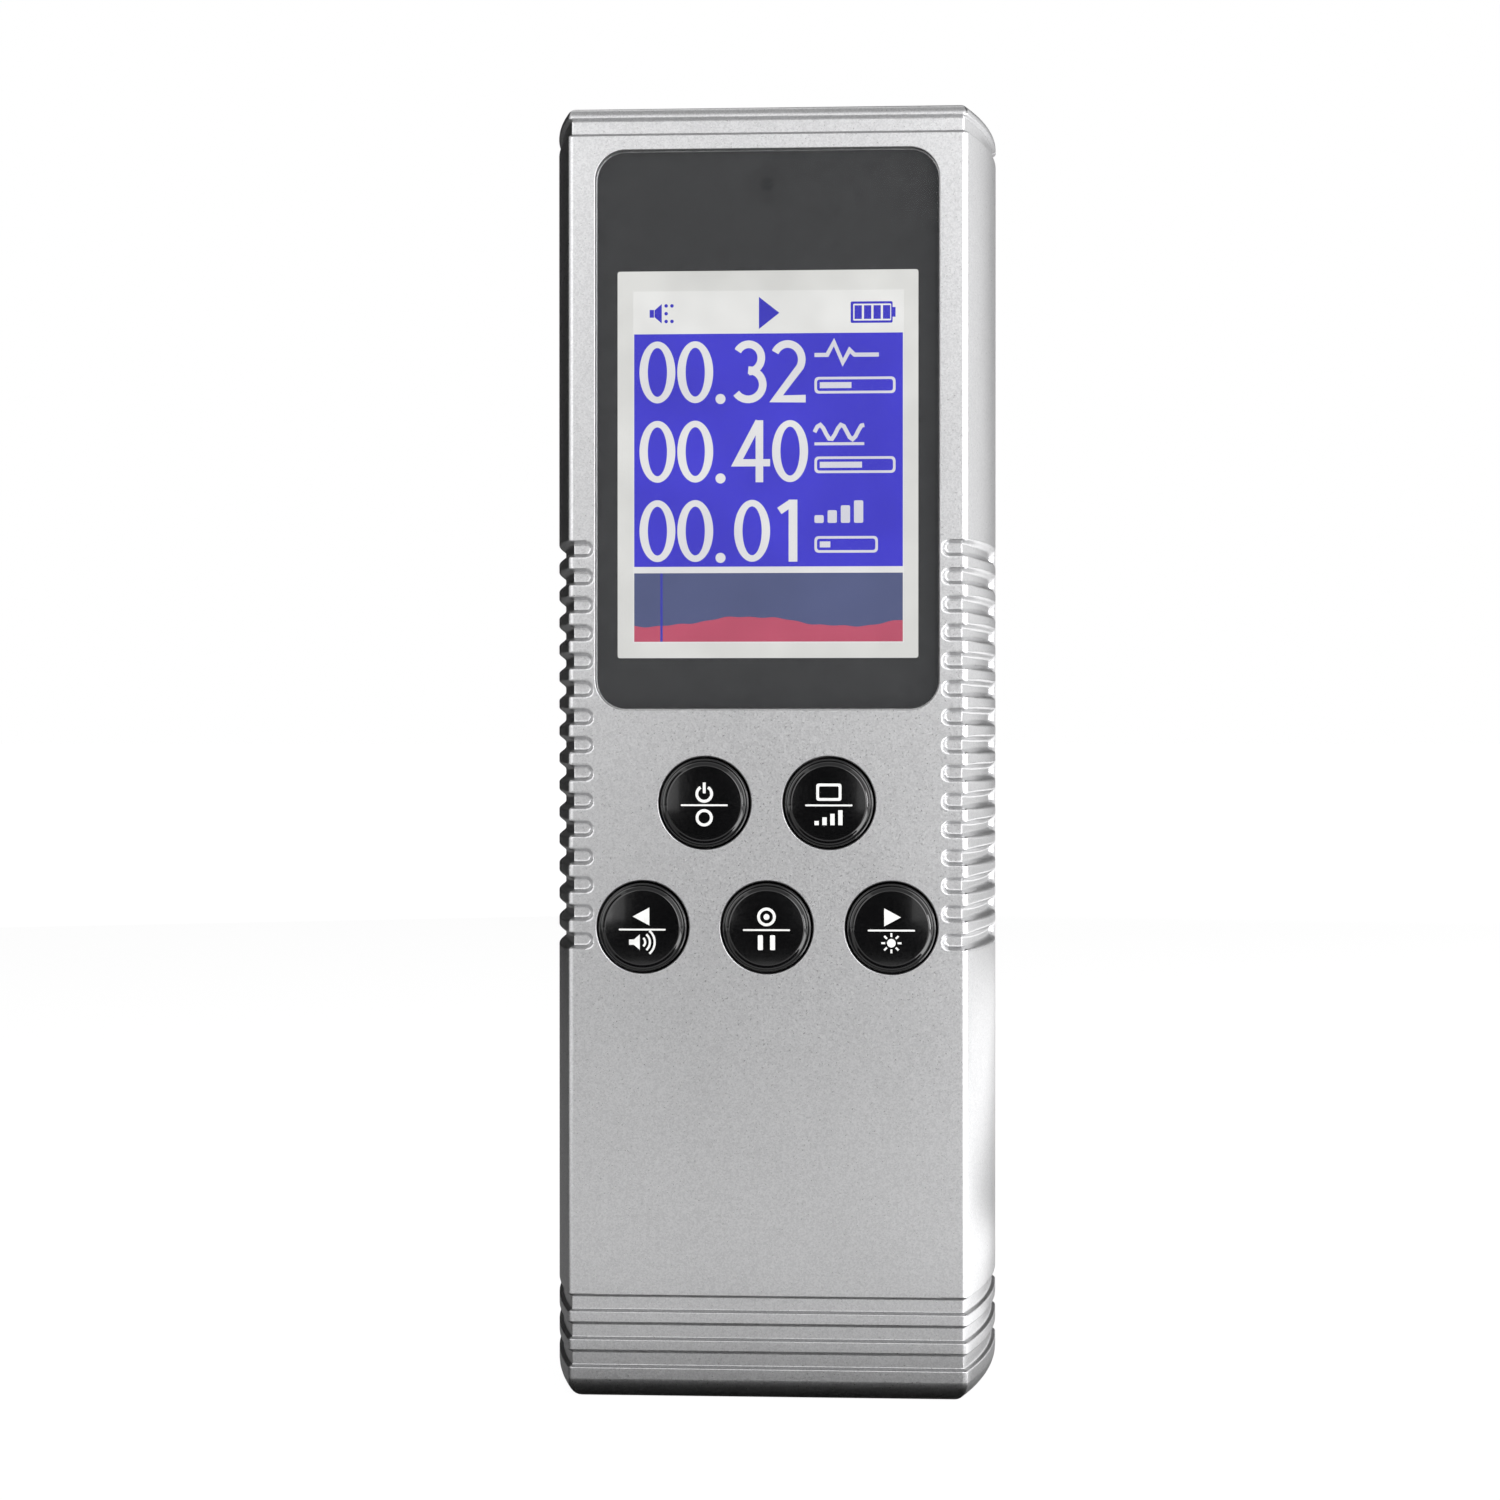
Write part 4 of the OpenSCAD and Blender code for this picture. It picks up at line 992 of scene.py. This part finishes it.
def make_cap(name):
    """A glossy stepped cap, turned about its own axis."""
    low, high = box_mm(name + "_button")
    front = low.y + INK
    flange_y = FRONT_Y + WALL + 0.1
    face_r = 3.84
    bevel = 0.26
    profile = [(0, front), (face_r - 0.1, front), (face_r, front + 0.01)]
    profile += [(face_r + 0.06, front + 0.05), (face_r + bevel, front + bevel - 0.02)]
    profile += [(face_r + bevel + 0.05, front + bevel), (CAP_R - 0.2, front + bevel)]
    profile += [(CAP_R - wider, front + bevel + deep) for wider, deep in rim(0.15, 4)]
    profile += [(CAP_R, flange_y - 0.2), (CAP_R + 0.2, flange_y), (5.4, flange_y), (5.5, flange_y + 0.1)]
    profile += [(5.5, high.y - 0.1), (5.4, high.y), (0, high.y)]
    skin = Skin()
    skin.lathe(BUTTON_PLACES[name], profile, 96)
    return skin.make(name + "_cap", 28)


def ring_shape(r, width):
    return circle((0, 0), r + width / 2, 40), [circle((0, 0), r - width / 2, 40)]


def arc_shape(place, r, width, start, end):
    return stroke(arc(place, r, r, start, end, 28), width), []


def legend_signs(name):
    """A button's upper and lower generic sign, each about 1.6 mm high round its own middle."""
    pen = 0.24
    if name == "power":
        upper = [arc_shape((0, -0.15), 0.62, pen, 120, 420), (stroke([(0, -0.1), (0, 0.8)], pen), [])]
        lower = [ring_shape(0.6, pen)]
    elif name == "display":
        upper = [(rounded(-1.05, 1.05, -0.72, 0.72, 0.2, 4), [rounded(-0.82, 0.82, -0.49, 0.49, 0.1, 4)])]
        bars = ((-1.2, 0.35), (-0.54, 0.65), (0.12, 0.95), (0.78, 1.25))
        lower = [(rectangle(x, x + 0.36, -0.6, height - 0.6), []) for x, height in bars]
    elif name == "left":
        upper = [([(-0.8, 0), (0.6, -0.75), (0.6, 0.75)], [])]
        cone = [(-1.1, -0.22), (-0.7, -0.22), (-0.2, -0.65), (-0.2, 0.65), (-0.7, 0.22), (-1.1, 0.22)]
        lower = [(cone, [])] + [arc_shape((-0.2, 0), r, 0.18, -50, 50) for r in (0.45, 0.85, 1.25)]
    elif name == "centre":
        upper = [ring_shape(0.66, pen), (circle((0, 0), 0.25, 20), [])]
        lower = [(rounded(x, x + 0.42, -0.62, 0.62, 0.08, 3), []) for x in (-0.72, 0.3)]
    else:
        upper = [([(0.8, 0), (-0.6, 0.75), (-0.6, -0.75)], [])]
        lower = [(circle((0, 0), 0.36, 24), [])]
        for turn in range(0, 360, 45):
            a = math.radians(turn)
            ray = [(r * math.cos(a), r * math.sin(a)) for r in (0.52, 0.84)]
            lower.append((stroke(ray, 0.16), []))
    return upper, lower


def legend_shapes(name):
    """A button's two signs and the bar between them, round the button's middle."""
    size = 1.22
    bar_z = -0.22
    upper, lower = legend_signs(name)
    shapes = [(rounded(-2.4, 2.4, bar_z - 0.09, bar_z + 0.09, 0.08, 3), [])]
    for signs, z in ((upper, 1.12), (lower, -1.5)):
        for outline, holes in signs:
            loops = [[(px * size, pz * size + z) for px, pz in loop] for loop in (outline, *holes)]
            shapes.append((loops[0], loops[1:]))
    return shapes


def make_legend(name):
    skin = Skin()
    front = box_mm(name + "_button")[0].y
    for shape in legend_shapes(name):
        skin.plate(front, front + INK * 1.5, *moved_shape(shape, *BUTTON_PLACES[name]))
    return skin.make(name + "_legend")


# ---------- screws, cells and light ----------
def cross_outline(arm, reach):
    """A cross of four arms: half their width, and how far they reach."""
    outline = [(arm, arm), (arm, reach), (-arm, reach), (-arm, arm), (-reach, arm), (-reach, -arm)]
    return outline + [(-x, -z) for x, z in outline]


def make_screws(name, screws):
    """Pan-head screws with a cross recess, seen from the back."""
    skin = Skin()
    r = screws.r
    tip = screws.tip_y
    seat = screws.seat_y
    shank_r = 0.98
    dome_h = 0.45
    profile = [(0, tip), (0.35, tip), (shank_r, tip + 1.2), (shank_r, seat)]
    profile += [(r - 0.08, seat), (r, seat + 0.1)]
    profile += [(r * math.cos(a), screws.top_y - dome_h + dome_h * math.sin(a)) for a in angles(0, 90, 5)]
    for place in screws.places:
        skin.lathe(place, profile, 40)
    made = skin.make(name)
    cross = Skin()
    for place in screws.places:
        rings = []
        for y, grow in ((screws.top_y + 0.3, 0.06), (screws.top_y - 0.75, -0.07)):
            outline = cross_outline(0.26 + grow, r * 0.58 + grow * 2)
            rings.append(at_depth(moved(outline, *place), y))
        cross.solid(rings)
    cut_out(made, cross.make("cross_cutters"))
    return made


def make_battery(name):
    """A battery: sleeve, flat end, and a raised end in a ring. The middle one is the other way up."""
    low, high = box_mm(name)
    centre = ((low.x + high.x) / 2, (low.y + high.y) / 2)
    r = (high.x - low.x) / 2
    length = high.z - low.z
    nub_r = 1.9
    shoulder = 0.8
    profile = [(0, 0), (nub_r - 0.3, 0), (nub_r - 0.05, 0.12), (nub_r, 0.3), (nub_r, shoulder)]
    profile += [(nub_r + 0.4, shoulder + 0.12), (r - 1.85, shoulder + 0.12), (r - 1.55, shoulder)]
    profile += [(r - 0.55, shoulder), (r - 0.2, 0.95), (r - 0.03, 1.25), (r, 1.6), (r, length - 1.0)]
    profile += [(r - 0.04, length - 0.5), (r - 0.3, length - 0.15), (r - 0.7, length - 0.1)]
    profile += [(r - 0.9, length - 0.25), (r - 1.85, length - 0.25), (r - 2.15, length), (0, length)]
    flip = name == "battery_middle"
    skin = Skin()
    rings = []
    for ring_r, z in profile:
        height = low.z + z if flip else high.z - z
        rings.append([(x, y, height) for x, y in circle(centre, ring_r, 48)])
    skin.strip(rings)
    return skin.make(name + "_cell", 30)


def make_led():
    """A 3 mm lamp: domed lens on a flanged base."""
    skin = Skin()
    low, high = box_mm("indicator_led")
    r = 1.5
    base_r = 1.9
    base_y = high.y - 1.0
    profile = [(r * math.cos(a), low.y + r - r * math.sin(a)) for a in angles(90, 0, 9)]
    profile += [(r, base_y), (base_r - 0.1, base_y), (base_r, base_y + 0.1), (base_r, high.y), (0, high.y)]
    skin.lathe(LED_PLACE, profile, 40)
    return skin.make("indicator_lamp")


# ---------- materials ----------
WHITE = (1.0, 1.0, 1.0, 1.0)


def linear(colour):
    """A screen colour, given as three numbers from 0 to 255, as the linear colour that shaders use."""
    values = [c / 255 for c in colour]
    made = [v / 12.92 if v <= 0.04045 else ((v + 0.055) / 1.055) ** 2.4 for v in values]
    return (*made, 1.0)


def grey(level):
    return (level, level, level, 1.0)


def stops(dark, light):
    """Stops of a colour ramp over the range that noise mostly takes."""
    return [(0.3, dark), (0.7, light)]


def tones(dark, light):
    return stops(linear(dark), linear(light))


def shades(colour, spread):
    """A darker and a lighter version of a screen colour, as stops."""
    darker = [max(c * (1 - spread), 0) for c in colour]
    lighter = [min(c * (1 + spread) + 255 * spread * 0.1, 255) for c in colour]
    return tones(darker, lighter)


def fill(node, values):
    """Sets inputs of a node by their names."""
    for socket, value in values.items():
        node.inputs[socket].default_value = value


class Paint:
    """Builds one material's nodes. Lengths are in millimetres."""

    def __init__(self, name, roughness, metallic=0.0):
        self.material = bpy.data.materials.new(name)
        self.material.use_nodes = True
        self.tree = self.material.node_tree
        self.shader = self.tree.nodes["Principled BSDF"]
        self.set({"Roughness": roughness, "Metallic": metallic})
        self.coords = self.tree.nodes.new("ShaderNodeTexCoord").outputs["Object"]

    def node(self, kind, **settings):
        made = self.tree.nodes.new("ShaderNode" + kind)
        for key, value in settings.items():
            setattr(made, key, value)
        return made

    def link(self, output, target):
        self.tree.links.new(output, target)

    def feed(self, socket, value):
        """Links an output to a socket, or sets the socket's own value."""
        if isinstance(value, (int, float, tuple)):
            socket.default_value = value
        else:
            self.link(value, socket)

    def set(self, values):
        fill(self.shader, values)

    def coat(self, weight, roughness):
        self.set({"Coat Weight": weight, "Coat Roughness": roughness})

    def texture(self, kind, scale, rotation=(0, 0, 0), **settings):
        """A texture on the object's own coordinates, scaled along each axis."""
        mapping = self.node("Mapping")
        fill(mapping, {"Scale": scale, "Rotation": rotation})
        self.link(self.coords, mapping.inputs["Vector"])
        made = self.node(kind, **settings)
        self.link(mapping.outputs["Vector"], made.inputs["Vector"])
        return made

    def noise(self, size, detail, stretch=(1, 1, 1)):
        """Noise whose blotches are about this size."""
        made = self.texture("TexNoise", [s / (size * MM) for s in stretch])
        fill(made, {"Scale": 1.0, "Detail": detail, "Roughness": 0.55})
        return made.outputs["Fac"]

    def speckle(self, size):
        """A separate value in each small cell."""
        made = self.texture("TexVoronoi", [1 / (size * MM)] * 3)
        fill(made, {"Scale": 1.0})
        split = self.node("SeparateColor")
        self.link(made.outputs["Color"], split.inputs["Color"])
        return split.outputs[0]

    def axis(self, name):
        split = self.node("SeparateXYZ")
        self.link(self.coords, split.inputs["Vector"])
        return split.outputs[name]

    def wave(self, axis, pitch):
        """Waves of this length along an axis, from -1 to 1."""
        turns = self.math("MULTIPLY", self.axis(axis), 2 * math.pi / (pitch * MM))
        return self.math("SINE", turns, 0.0)

    def fit(self, value, low, high, new_low, new_high):
        made = self.node("MapRange")
        fill(made, {"From Min": low, "From Max": high, "To Min": new_low, "To Max": new_high})
        self.link(value, made.inputs["Value"])
        return made.outputs["Result"]

    def math(self, operation, a, b):
        made = self.node("Math", operation=operation)
        for socket, value in zip(made.inputs, (a, b)):
            self.feed(socket, value)
        return made.outputs["Value"]

    def ramp(self, value, colours):
        """A colour from a value. The colours are (place, colour)."""
        made = self.node("ValToRGB")
        elements = made.color_ramp.elements
        while len(elements) < len(colours):
            elements.new(0.5)
        for element, (place, colour) in zip(elements, colours):
            element.position = place
            element.color = colour
        self.link(value, made.inputs["Fac"])
        return made.outputs["Color"]

    def mix(self, factor, a, b, blend="MIX"):
        made = self.node("Mix", data_type="RGBA", blend_type=blend)
        for socket, value in (("Factor", factor), ("A", a), ("B", b)):
            self.feed(made.inputs[socket], value)
        return next(o for o in made.outputs if o.type == "RGBA")

    def multiply(self, a, b):
        return self.mix(1.0, a, b, "MULTIPLY")

    def colour(self, value):
        self.link(value, self.shader.inputs["Base Color"])

    def rough(self, value, low, high):
        self.link(self.fit(value, 0.3, 0.7, low, high), self.shader.inputs["Roughness"])

    def bump(self, height, distance, strength):
        made = self.node("Bump")
        fill(made, {"Distance": distance * MM, "Strength": strength})
        self.link(height, made.inputs["Height"])
        self.link(made.outputs["Normal"], self.shader.inputs["Normal"])


def plain(name, colour, roughness, size, spread, bump=0.01):
    """Moulded or cast stuff: blotchy colour, uneven gloss and a fine grain of this size.

    Spread is how far the colour strays to each side, as a share of itself.
    """
    paint = Paint(name, roughness)
    paint.colour(paint.ramp(paint.noise(size * 6, 3), shades(colour, spread)))
    grain = paint.noise(size, 2)
    paint.rough(grain, max(roughness - 0.06, 0.02), min(roughness + 0.08, 1))
    paint.bump(grain, bump, 0.6)
    return paint


def silver_paint():
    """Satin silver lacquer: fine flakes in a grey ground, over a faint moulded grain."""
    paint = Paint("silver_lacquer", 0.34, 0.98)
    ground = paint.ramp(paint.noise(9, 3), tones((205, 205, 206), (212, 212, 213)))
    flake_tones = [(0.0, linear((182, 182, 184))), (0.9, linear((226, 226, 227)))]
    paint.colour(paint.mix(0.4, ground, paint.ramp(paint.speckle(0.14), flake_tones)))
    grain = paint.noise(0.22, 3)
    paint.rough(grain, 0.27, 0.35)
    paint.bump(grain, 0.006, 0.5)
    return paint


def button_gloss():
    paint = Paint("button_gloss", 0.16)
    clouds = paint.noise(2.2, 2)
    paint.colour(paint.ramp(clouds, tones((8, 8, 9), (13, 13, 14))))
    paint.rough(paint.noise(0.3, 3), 0.08, 0.15)
    paint.bump(clouds, 0.012, 0.3)
    paint.coat(0.4, 0.04)
    return paint


def window_smoke():
    """The dark print behind the window, with painted shade in rings round the lamp that stands behind it,
    standing in for the lamp seen through the print.
    """
    paint = Paint("window_smoke", 0.3)
    paint.set({"Specular IOR Level": 0.1})
    ground = paint.ramp(paint.noise(1.2, 3), tones((64, 64, 65), (70, 70, 71)))
    centre = paint.node("CombineXYZ")
    fill(centre, {"X": LED_PLACE[0] * MM, "Y": box_mm("window_mask")[0].y * MM, "Z": LED_PLACE[1] * MM})
    away = paint.node("VectorMath", operation="DISTANCE")
    paint.link(paint.coords, away.inputs[0])
    paint.link(centre.outputs["Vector"], away.inputs[1])
    painted_shade_reach = 3
    reach = paint.fit(away.outputs["Value"], 0, painted_shade_reach * MM, 0, 1)
    # Painted shade of the lamp behind the print: darkest over the lamp, fading out in rings within 3 mm.
    rings = [(0.0, 0.62), (0.2, 0.68), (0.32, 0.9), (0.55, 0.84), (0.7, 0.95), (0.85, 1.0)]
    shade = paint.ramp(reach, [(place, grey(level)) for place, level in rings])
    paint.colour(paint.multiply(ground, shade))
    paint.coat(1.0, 0.04)
    return paint


def clear_sheet():
    """The acrylic window: nearly clear, glossy, with faint smears that only change its gloss."""
    paint = Paint("clear_acrylic", 0.06)
    paint.colour(paint.ramp(paint.noise(14, 2), tones((58, 60, 62), (70, 72, 74))))
    paint.rough(paint.noise(6, 4), 0.03, 0.1)
    paint.set({"Alpha": 0.1, "IOR": 1.49})
    return paint


def lit(name, colour, strength):
    """A lit part of the display: its own light, with a fine grid of dots and a slight unevenness."""
    paint = Paint(name, 0.35)
    ground = paint.ramp(paint.noise(7, 2), shades(colour, 0.03))
    dot = 0.22
    waves = paint.math("ADD", paint.wave("X", dot), paint.wave("Z", dot))
    grid = paint.fit(waves, -2, 2, 0.96, 1.0)
    dotted = paint.multiply(ground, paint.ramp(grid, [(0, grey(0.0)), (1, WHITE)]))
    paint.link(dotted, paint.shader.inputs["Emission Color"])
    paint.set({"Emission Strength": strength, "Base Color": grey(0.01), "Specular IOR Level": 0.0})
    paint.coat(0.6, 0.03)
    return paint


def circuit_board():
    """Green solder mask over fine tracks."""
    paint = Paint("board_mask", 0.35)
    cells = paint.texture("TexBrick", [1 / MM] * 3, (math.pi / 2, 0, 0), offset=0.37)
    fill(cells, {"Scale": 0.45, "Mortar Size": 0.06, "Mortar": linear((52, 134, 82))})
    fill(cells, {"Color1": linear((16, 84, 46)), "Color2": linear((20, 94, 52))})
    cloud = paint.ramp(paint.noise(4, 2), stops(grey(0.85), WHITE))
    paint.colour(paint.multiply(cells.outputs["Color"], cloud))
    paint.bump(cells.outputs["Fac"], 0.02, 0.4)
    return paint


def wound_wire():
    """Copper wire wound in fine turns across the coil's axis, with painted shade between the turns and a
    painted highlight on their crests.
    """
    paint = Paint("wound_wire", 0.3, 1.0)
    turn_relief_and_painted_shade = paint.fit(paint.wave("Y", 0.18), -1, 1, 0, 1)
    # Painted shade and highlight: darker copper between the turns, lighter on each turn's crest. The same
    # wave also drives the bump.
    paint.colour(paint.ramp(turn_relief_and_painted_shade, [(0.1, linear((110, 52, 24))), (0.8, linear((214, 122, 68)))]))
    paint.bump(turn_relief_and_painted_shade, 0.05, 0.8)
    return paint


def cell_sleeve():
    """A plain battery sleeve: a dark body with a warm band towards one end, and bare metal ends."""
    paint = Paint("cell_sleeve_print", 0.3, 0.2)
    low, high = CELLS[0]
    height = paint.fit(paint.axis("Z"), low.z * MM, high.z * MM, 0, 1)
    dark = linear((38, 44, 52))
    band = linear((196, 132, 60))
    metal = linear((190, 190, 192))
    bands = [(0.0, metal), (0.018, metal), (0.02, dark), (0.72, dark), (0.725, band), (0.975, band)]
    stripes = paint.ramp(height, bands + [(0.98, metal)])
    stripes.node.color_ramp.interpolation = "CONSTANT"
    smears = paint.ramp(paint.noise(3, 4), stops(grey(0.86), WHITE))
    paint.colour(paint.multiply(stripes, smears))
    paint.rough(paint.noise(1.5, 3), 0.22, 0.36)
    return paint


def brushed(name, colour, roughness, stretch):
    """Bright metal with fine lines along one direction."""
    paint = Paint(name, roughness, 1.0)
    lines = paint.noise(0.5, 4, stretch)
    paint.colour(paint.ramp(lines, shades(colour, 0.08)))
    paint.rough(lines, roughness - 0.07, roughness + 0.08)
    paint.bump(lines, 0.006, 0.5)
    return paint


def glassy(name, colour, alpha):
    paint = Paint(name, 0.08)
    paint.colour(paint.ramp(paint.noise(3, 2), shades(colour, 0.03)))
    paint.rough(paint.noise(1.2, 3), 0.04, 0.12)
    paint.set({"Alpha": alpha})
    return paint


# One material for each slot of the record
MATERIALS = {
    "silver_cover": silver_paint(),
    "clear_window": clear_sheet(),
    "window_print": window_smoke(),
    "foam_tape": plain("foam_tape_grey", (70, 70, 74), 0.85, 0.3, 0.12, bump=0.05),
    "white_plastic": plain("white_moulding", (226, 226, 222), 0.5, 0.4, 0.03),
    "display_panel": plain("display_glass", (196, 198, 204), 0.15, 0.6, 0.03),
    "ribbon_film": plain("ribbon_amber", (178, 112, 40), 0.3, 0.5, 0.08),
    "black_button": button_gloss(),
    "dark_plastic": plain("dark_moulding", (34, 34, 36), 0.5, 0.3, 0.1),
    "circuit_board": circuit_board(),
    "connector_plastic": plain("connector_cream", (222, 212, 186), 0.5, 0.3, 0.04),
    "chip_resin": plain("chip_resin_black", (28, 28, 30), 0.6, 0.2, 0.12),
    "tinned_metal": brushed("tinned_steel", (196, 198, 200), 0.3, (1, 1, 0.1)),
    "ferrite": plain("ferrite_grey", (52, 52, 56), 0.7, 0.15, 0.12, bump=0.03),
    "copper_wire": wound_wire(),
    "capacitor_resin": plain("capacitor_red", (150, 44, 34), 0.35, 0.4, 0.06),
    "capacitor_sleeve": plain("capacitor_blue", (44, 52, 78), 0.35, 0.5, 0.05),
    "led_lens": glassy("lamp_lens", (216, 218, 226), 0.75),
    "tube_envelope": glassy("tube_envelope_glass", (206, 222, 222), 0.3),
    "cathode_metal": brushed("cathode_steel", (168, 176, 184), 0.35, (1, 1, 0.05)),
    "clip_brass": brushed("clip_brass_bright", (206, 168, 92), 0.32, (1, 1, 0.2)),
    "cell_sleeve": cell_sleeve(),
    "red_insulation": plain("red_insulation_soft", (176, 24, 22), 0.45, 0.4, 0.08),
    "black_insulation": plain("black_insulation_soft", (22, 22, 24), 0.45, 0.4, 0.12),
    "screw_steel": brushed("screw_steel_bright", (176, 178, 182), 0.3, (1, 0.15, 1)),
}
LEGEND_INK = plain("legend_ink", (236, 236, 234), 0.45, 0.2, 0.03)


def paint_nodes():
    """Gives every CAD node the material of its slot in the record."""
    for part in frame["record"]["subparts"]:
        node = frame["nodes"][part["node"]]
        node.data.materials.clear()
        node.data.materials.append(MATERIALS[part["material_slot"]].material)


def finish_piece(piece, slot, body, *replaced, paint=None):
    """Sets a new piece's material, the body it moves with, and the CAD nodes it stands for."""
    piece.data.materials.clear()
    piece.data.materials.append((paint or MATERIALS[slot]).material)
    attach(piece, body)
    if replaced:
        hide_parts(*replaced)


# ---------- the object ----------
paint_nodes()
finish_piece(make_front_cover(), "silver_cover", "housing", "front_cover")
finish_piece(make_rear_cover(), "silver_cover", "housing", "rear_cover")
finish_piece(make_battery_door(), "silver_cover", "door", "battery_door")
finish_piece(make_window(), "clear_window", "housing", "display_window")
finish_piece(make_window_print(), "window_print", "housing", "window_mask")
for layer_name, level, colour, light, shapes in picture_layers():
    layer_paint = lit("lit_" + layer_name, colour, light)
    piece = layer("picture_" + layer_name, level, shapes)
    finish_piece(piece, "display_panel", "housing", paint=layer_paint)
for button in BUTTONS:
    finish_piece(make_cap(button), "black_button", button + "_key", button + "_button")
    finish_piece(make_legend(button), "white_plastic", button + "_key", paint=LEGEND_INK)
finish_piece(make_screws("case_screw_set", CASE_SCREWS), "screw_steel", "housing", "case_screws")
finish_piece(make_screws("board_screw_set", BOARD_SCREWS), "screw_steel", "housing", "board_screws")
for side in ("left", "middle", "right"):
    finish_piece(make_battery("battery_" + side), "cell_sleeve", "housing", "battery_" + side)
finish_piece(make_led(), "led_lens", "housing", "indicator_led")


# ---------- studio ----------
# Places and sizes are in metres. The object stands on the floor at z = 0, in a white room.
TARGET = (0.0, 0.0, CASE_H * MM / 2)
# Greys of the cards
DARK = 0.01
DIM = 0.1


def sheet_mesh(name, width, depth):
    mesh = bpy.data.meshes.new(name)
    x, y = width / 2, depth / 2
    mesh.from_pydata([(-x, -y, 0), (x, -y, 0), (x, y, 0), (-x, y, 0)], [], [(0, 1, 2, 3)])
    made = bpy.data.objects.new(name, mesh)
    bpy.context.scene.collection.objects.link(made)
    return made


def aim(thing, place, target):
    thing.location = place
    thing.rotation_mode = "QUATERNION"
    thing.rotation_quaternion = (Vector(target) - Vector(place)).to_track_quat("-Z", "Y")


def flat_paint(name, level, glow):
    """A plain grey for the floor and the cards, with a glow of its own."""
    made = bpy.data.materials.new(name)
    made.use_nodes = True
    shader = made.node_tree.nodes["Principled BSDF"]
    fill(shader, {"Base Color": grey(level), "Roughness": 1.0, "Specular IOR Level": 0.0})
    fill(shader, {"Emission Color": WHITE, "Emission Strength": glow})
    return made


def hidden_sheet(name, width, depth, level, glow):
    """A sheet that the camera doesn't see but the object reflects."""
    made = sheet_mesh(name, width, depth)
    made.data.materials.append(flat_paint(name + "_paint", level, glow))
    made.visible_camera = False
    return made


def card(name, place, width, depth, level, glow=0.0):
    """A level card under the object or beside it, dark or with a glow."""
    hidden_sheet(name, width, depth, level, glow).location = place


def flag(name, place, width, height, glow=0.0):
    """A card that faces the object, dark or with a faint glow."""
    aim(hidden_sheet(name, width, height, DARK, glow), place, TARGET)


def softbox(name, place, width, height, power):
    data = bpy.data.lights.new(name, "AREA")
    data.shape = "RECTANGLE"
    data.size = width
    data.size_y = height
    data.energy = power
    lamp = bpy.data.objects.new(name, data)
    bpy.context.scene.collection.objects.link(lamp)
    aim(lamp, place, TARGET)
    lamp.visible_camera = False


# The floor is only for the camera. The object reflects the cards that lie a little lower instead.
floor = sheet_mesh("floor", 30, 30)
floor.data.materials.append(flat_paint("floor_paint", 0.12, 0.96))
floor.visible_glossy = False
floor.visible_diffuse = False
floor.visible_shadow = False

# The cards that glow brighten the lower right side and the front. The dark ones shade the edges.
card("table_card", (0, 0, -0.004), 3, 3, 0.3)
card("table_near", (0.072, 0.055, -0.0028), 0.06, 0.13, DIM, 1.6)
card("table_glow", (0.34, 0.25, -0.003), 0.48, 0.74, DIM, 1.45)
card("table_fill_right", (0.35, -0.55, -0.003), 0.5, 0.8, DIM, 1.6)
card("table_fill_left", (-0.50, -0.55, -0.003), 0.4, 0.8, DIM, 1.6)
card("table_fill_front", (0.0, -0.175, -0.003), 0.6, 0.26, DIM, 0.6)
card("table_strip", (0.30, -0.06, -0.0025), 0.5, 0.1, DIM, 4.5)
card("table_edge", (0.036, 0.20, -0.0026), 0.03, 0.3, DARK)
card("table_edge_far", (0.06, 0.52, -0.0026), 0.09, 0.34, DARK)
card("table_shade", (0, -0.0275, -0.002), 0.13, 0.035, DARK)
card("table_front", (-0.09, -0.75, -0.002), 0.34, 0.9, DARK)

# The room is white, so each of these darkens what the object reflects.
flag("back_left_card", (-0.30, 0.68, 0.30), 0.68, 0.8)
flag("left_card", (-0.65, 0.20, 0.35), 1.0, 0.9)
flag("back_right_card", (0.12, 0.70, 0.405), 0.32, 0.83)
flag("roof_card", (0.45, 0.45, 0.80), 0.9, 0.6)
flag("top_card", (0.0, -0.35, 1.0), 1.2, 1.2, 0.45)
flag("right_top_card", (0.75, 0.0, 0.65), 0.6, 0.6, 0.1)
flag("camera_card", (-0.06, -1.1, 0.12), 0.24, 0.42)

softbox("key_light", (0.46, -1.0, 0.26), 0.6, 0.6, 3.6)
softbox("fill_light", (-0.40, -1.0, 0.24), 0.4, 0.6, 1.0)
softbox("right_light", (0.60, -0.08, 0.11), 0.26, 0.24, 1.7)

world = bpy.data.worlds.new("studio")
world.use_nodes = True
fill(world.node_tree.nodes["Background"], {"Color": WHITE, "Strength": 1.0})
bpy.context.scene.world = world
bpy.context.scene.view_settings.view_transform = "Standard"

# The camera stands at half the object's height, a little to its right, as in the photograph.
CAMERA_PLACE = (0.020, FRONT_Y * MM - 0.335, 0.0684)
CAMERA_TARGET = (-0.00173, FRONT_Y * MM, 0.0664)
camera_data = bpy.data.cameras.new("camera")
camera_data.lens = 79
camera_data.sensor_width = 36
camera_data.clip_start = 0.01
camera_data.clip_end = 50
camera = bpy.data.objects.new("camera", camera_data)
bpy.context.scene.collection.objects.link(camera)
aim(camera, CAMERA_PLACE, CAMERA_TARGET)
bpy.context.scene.camera = camera
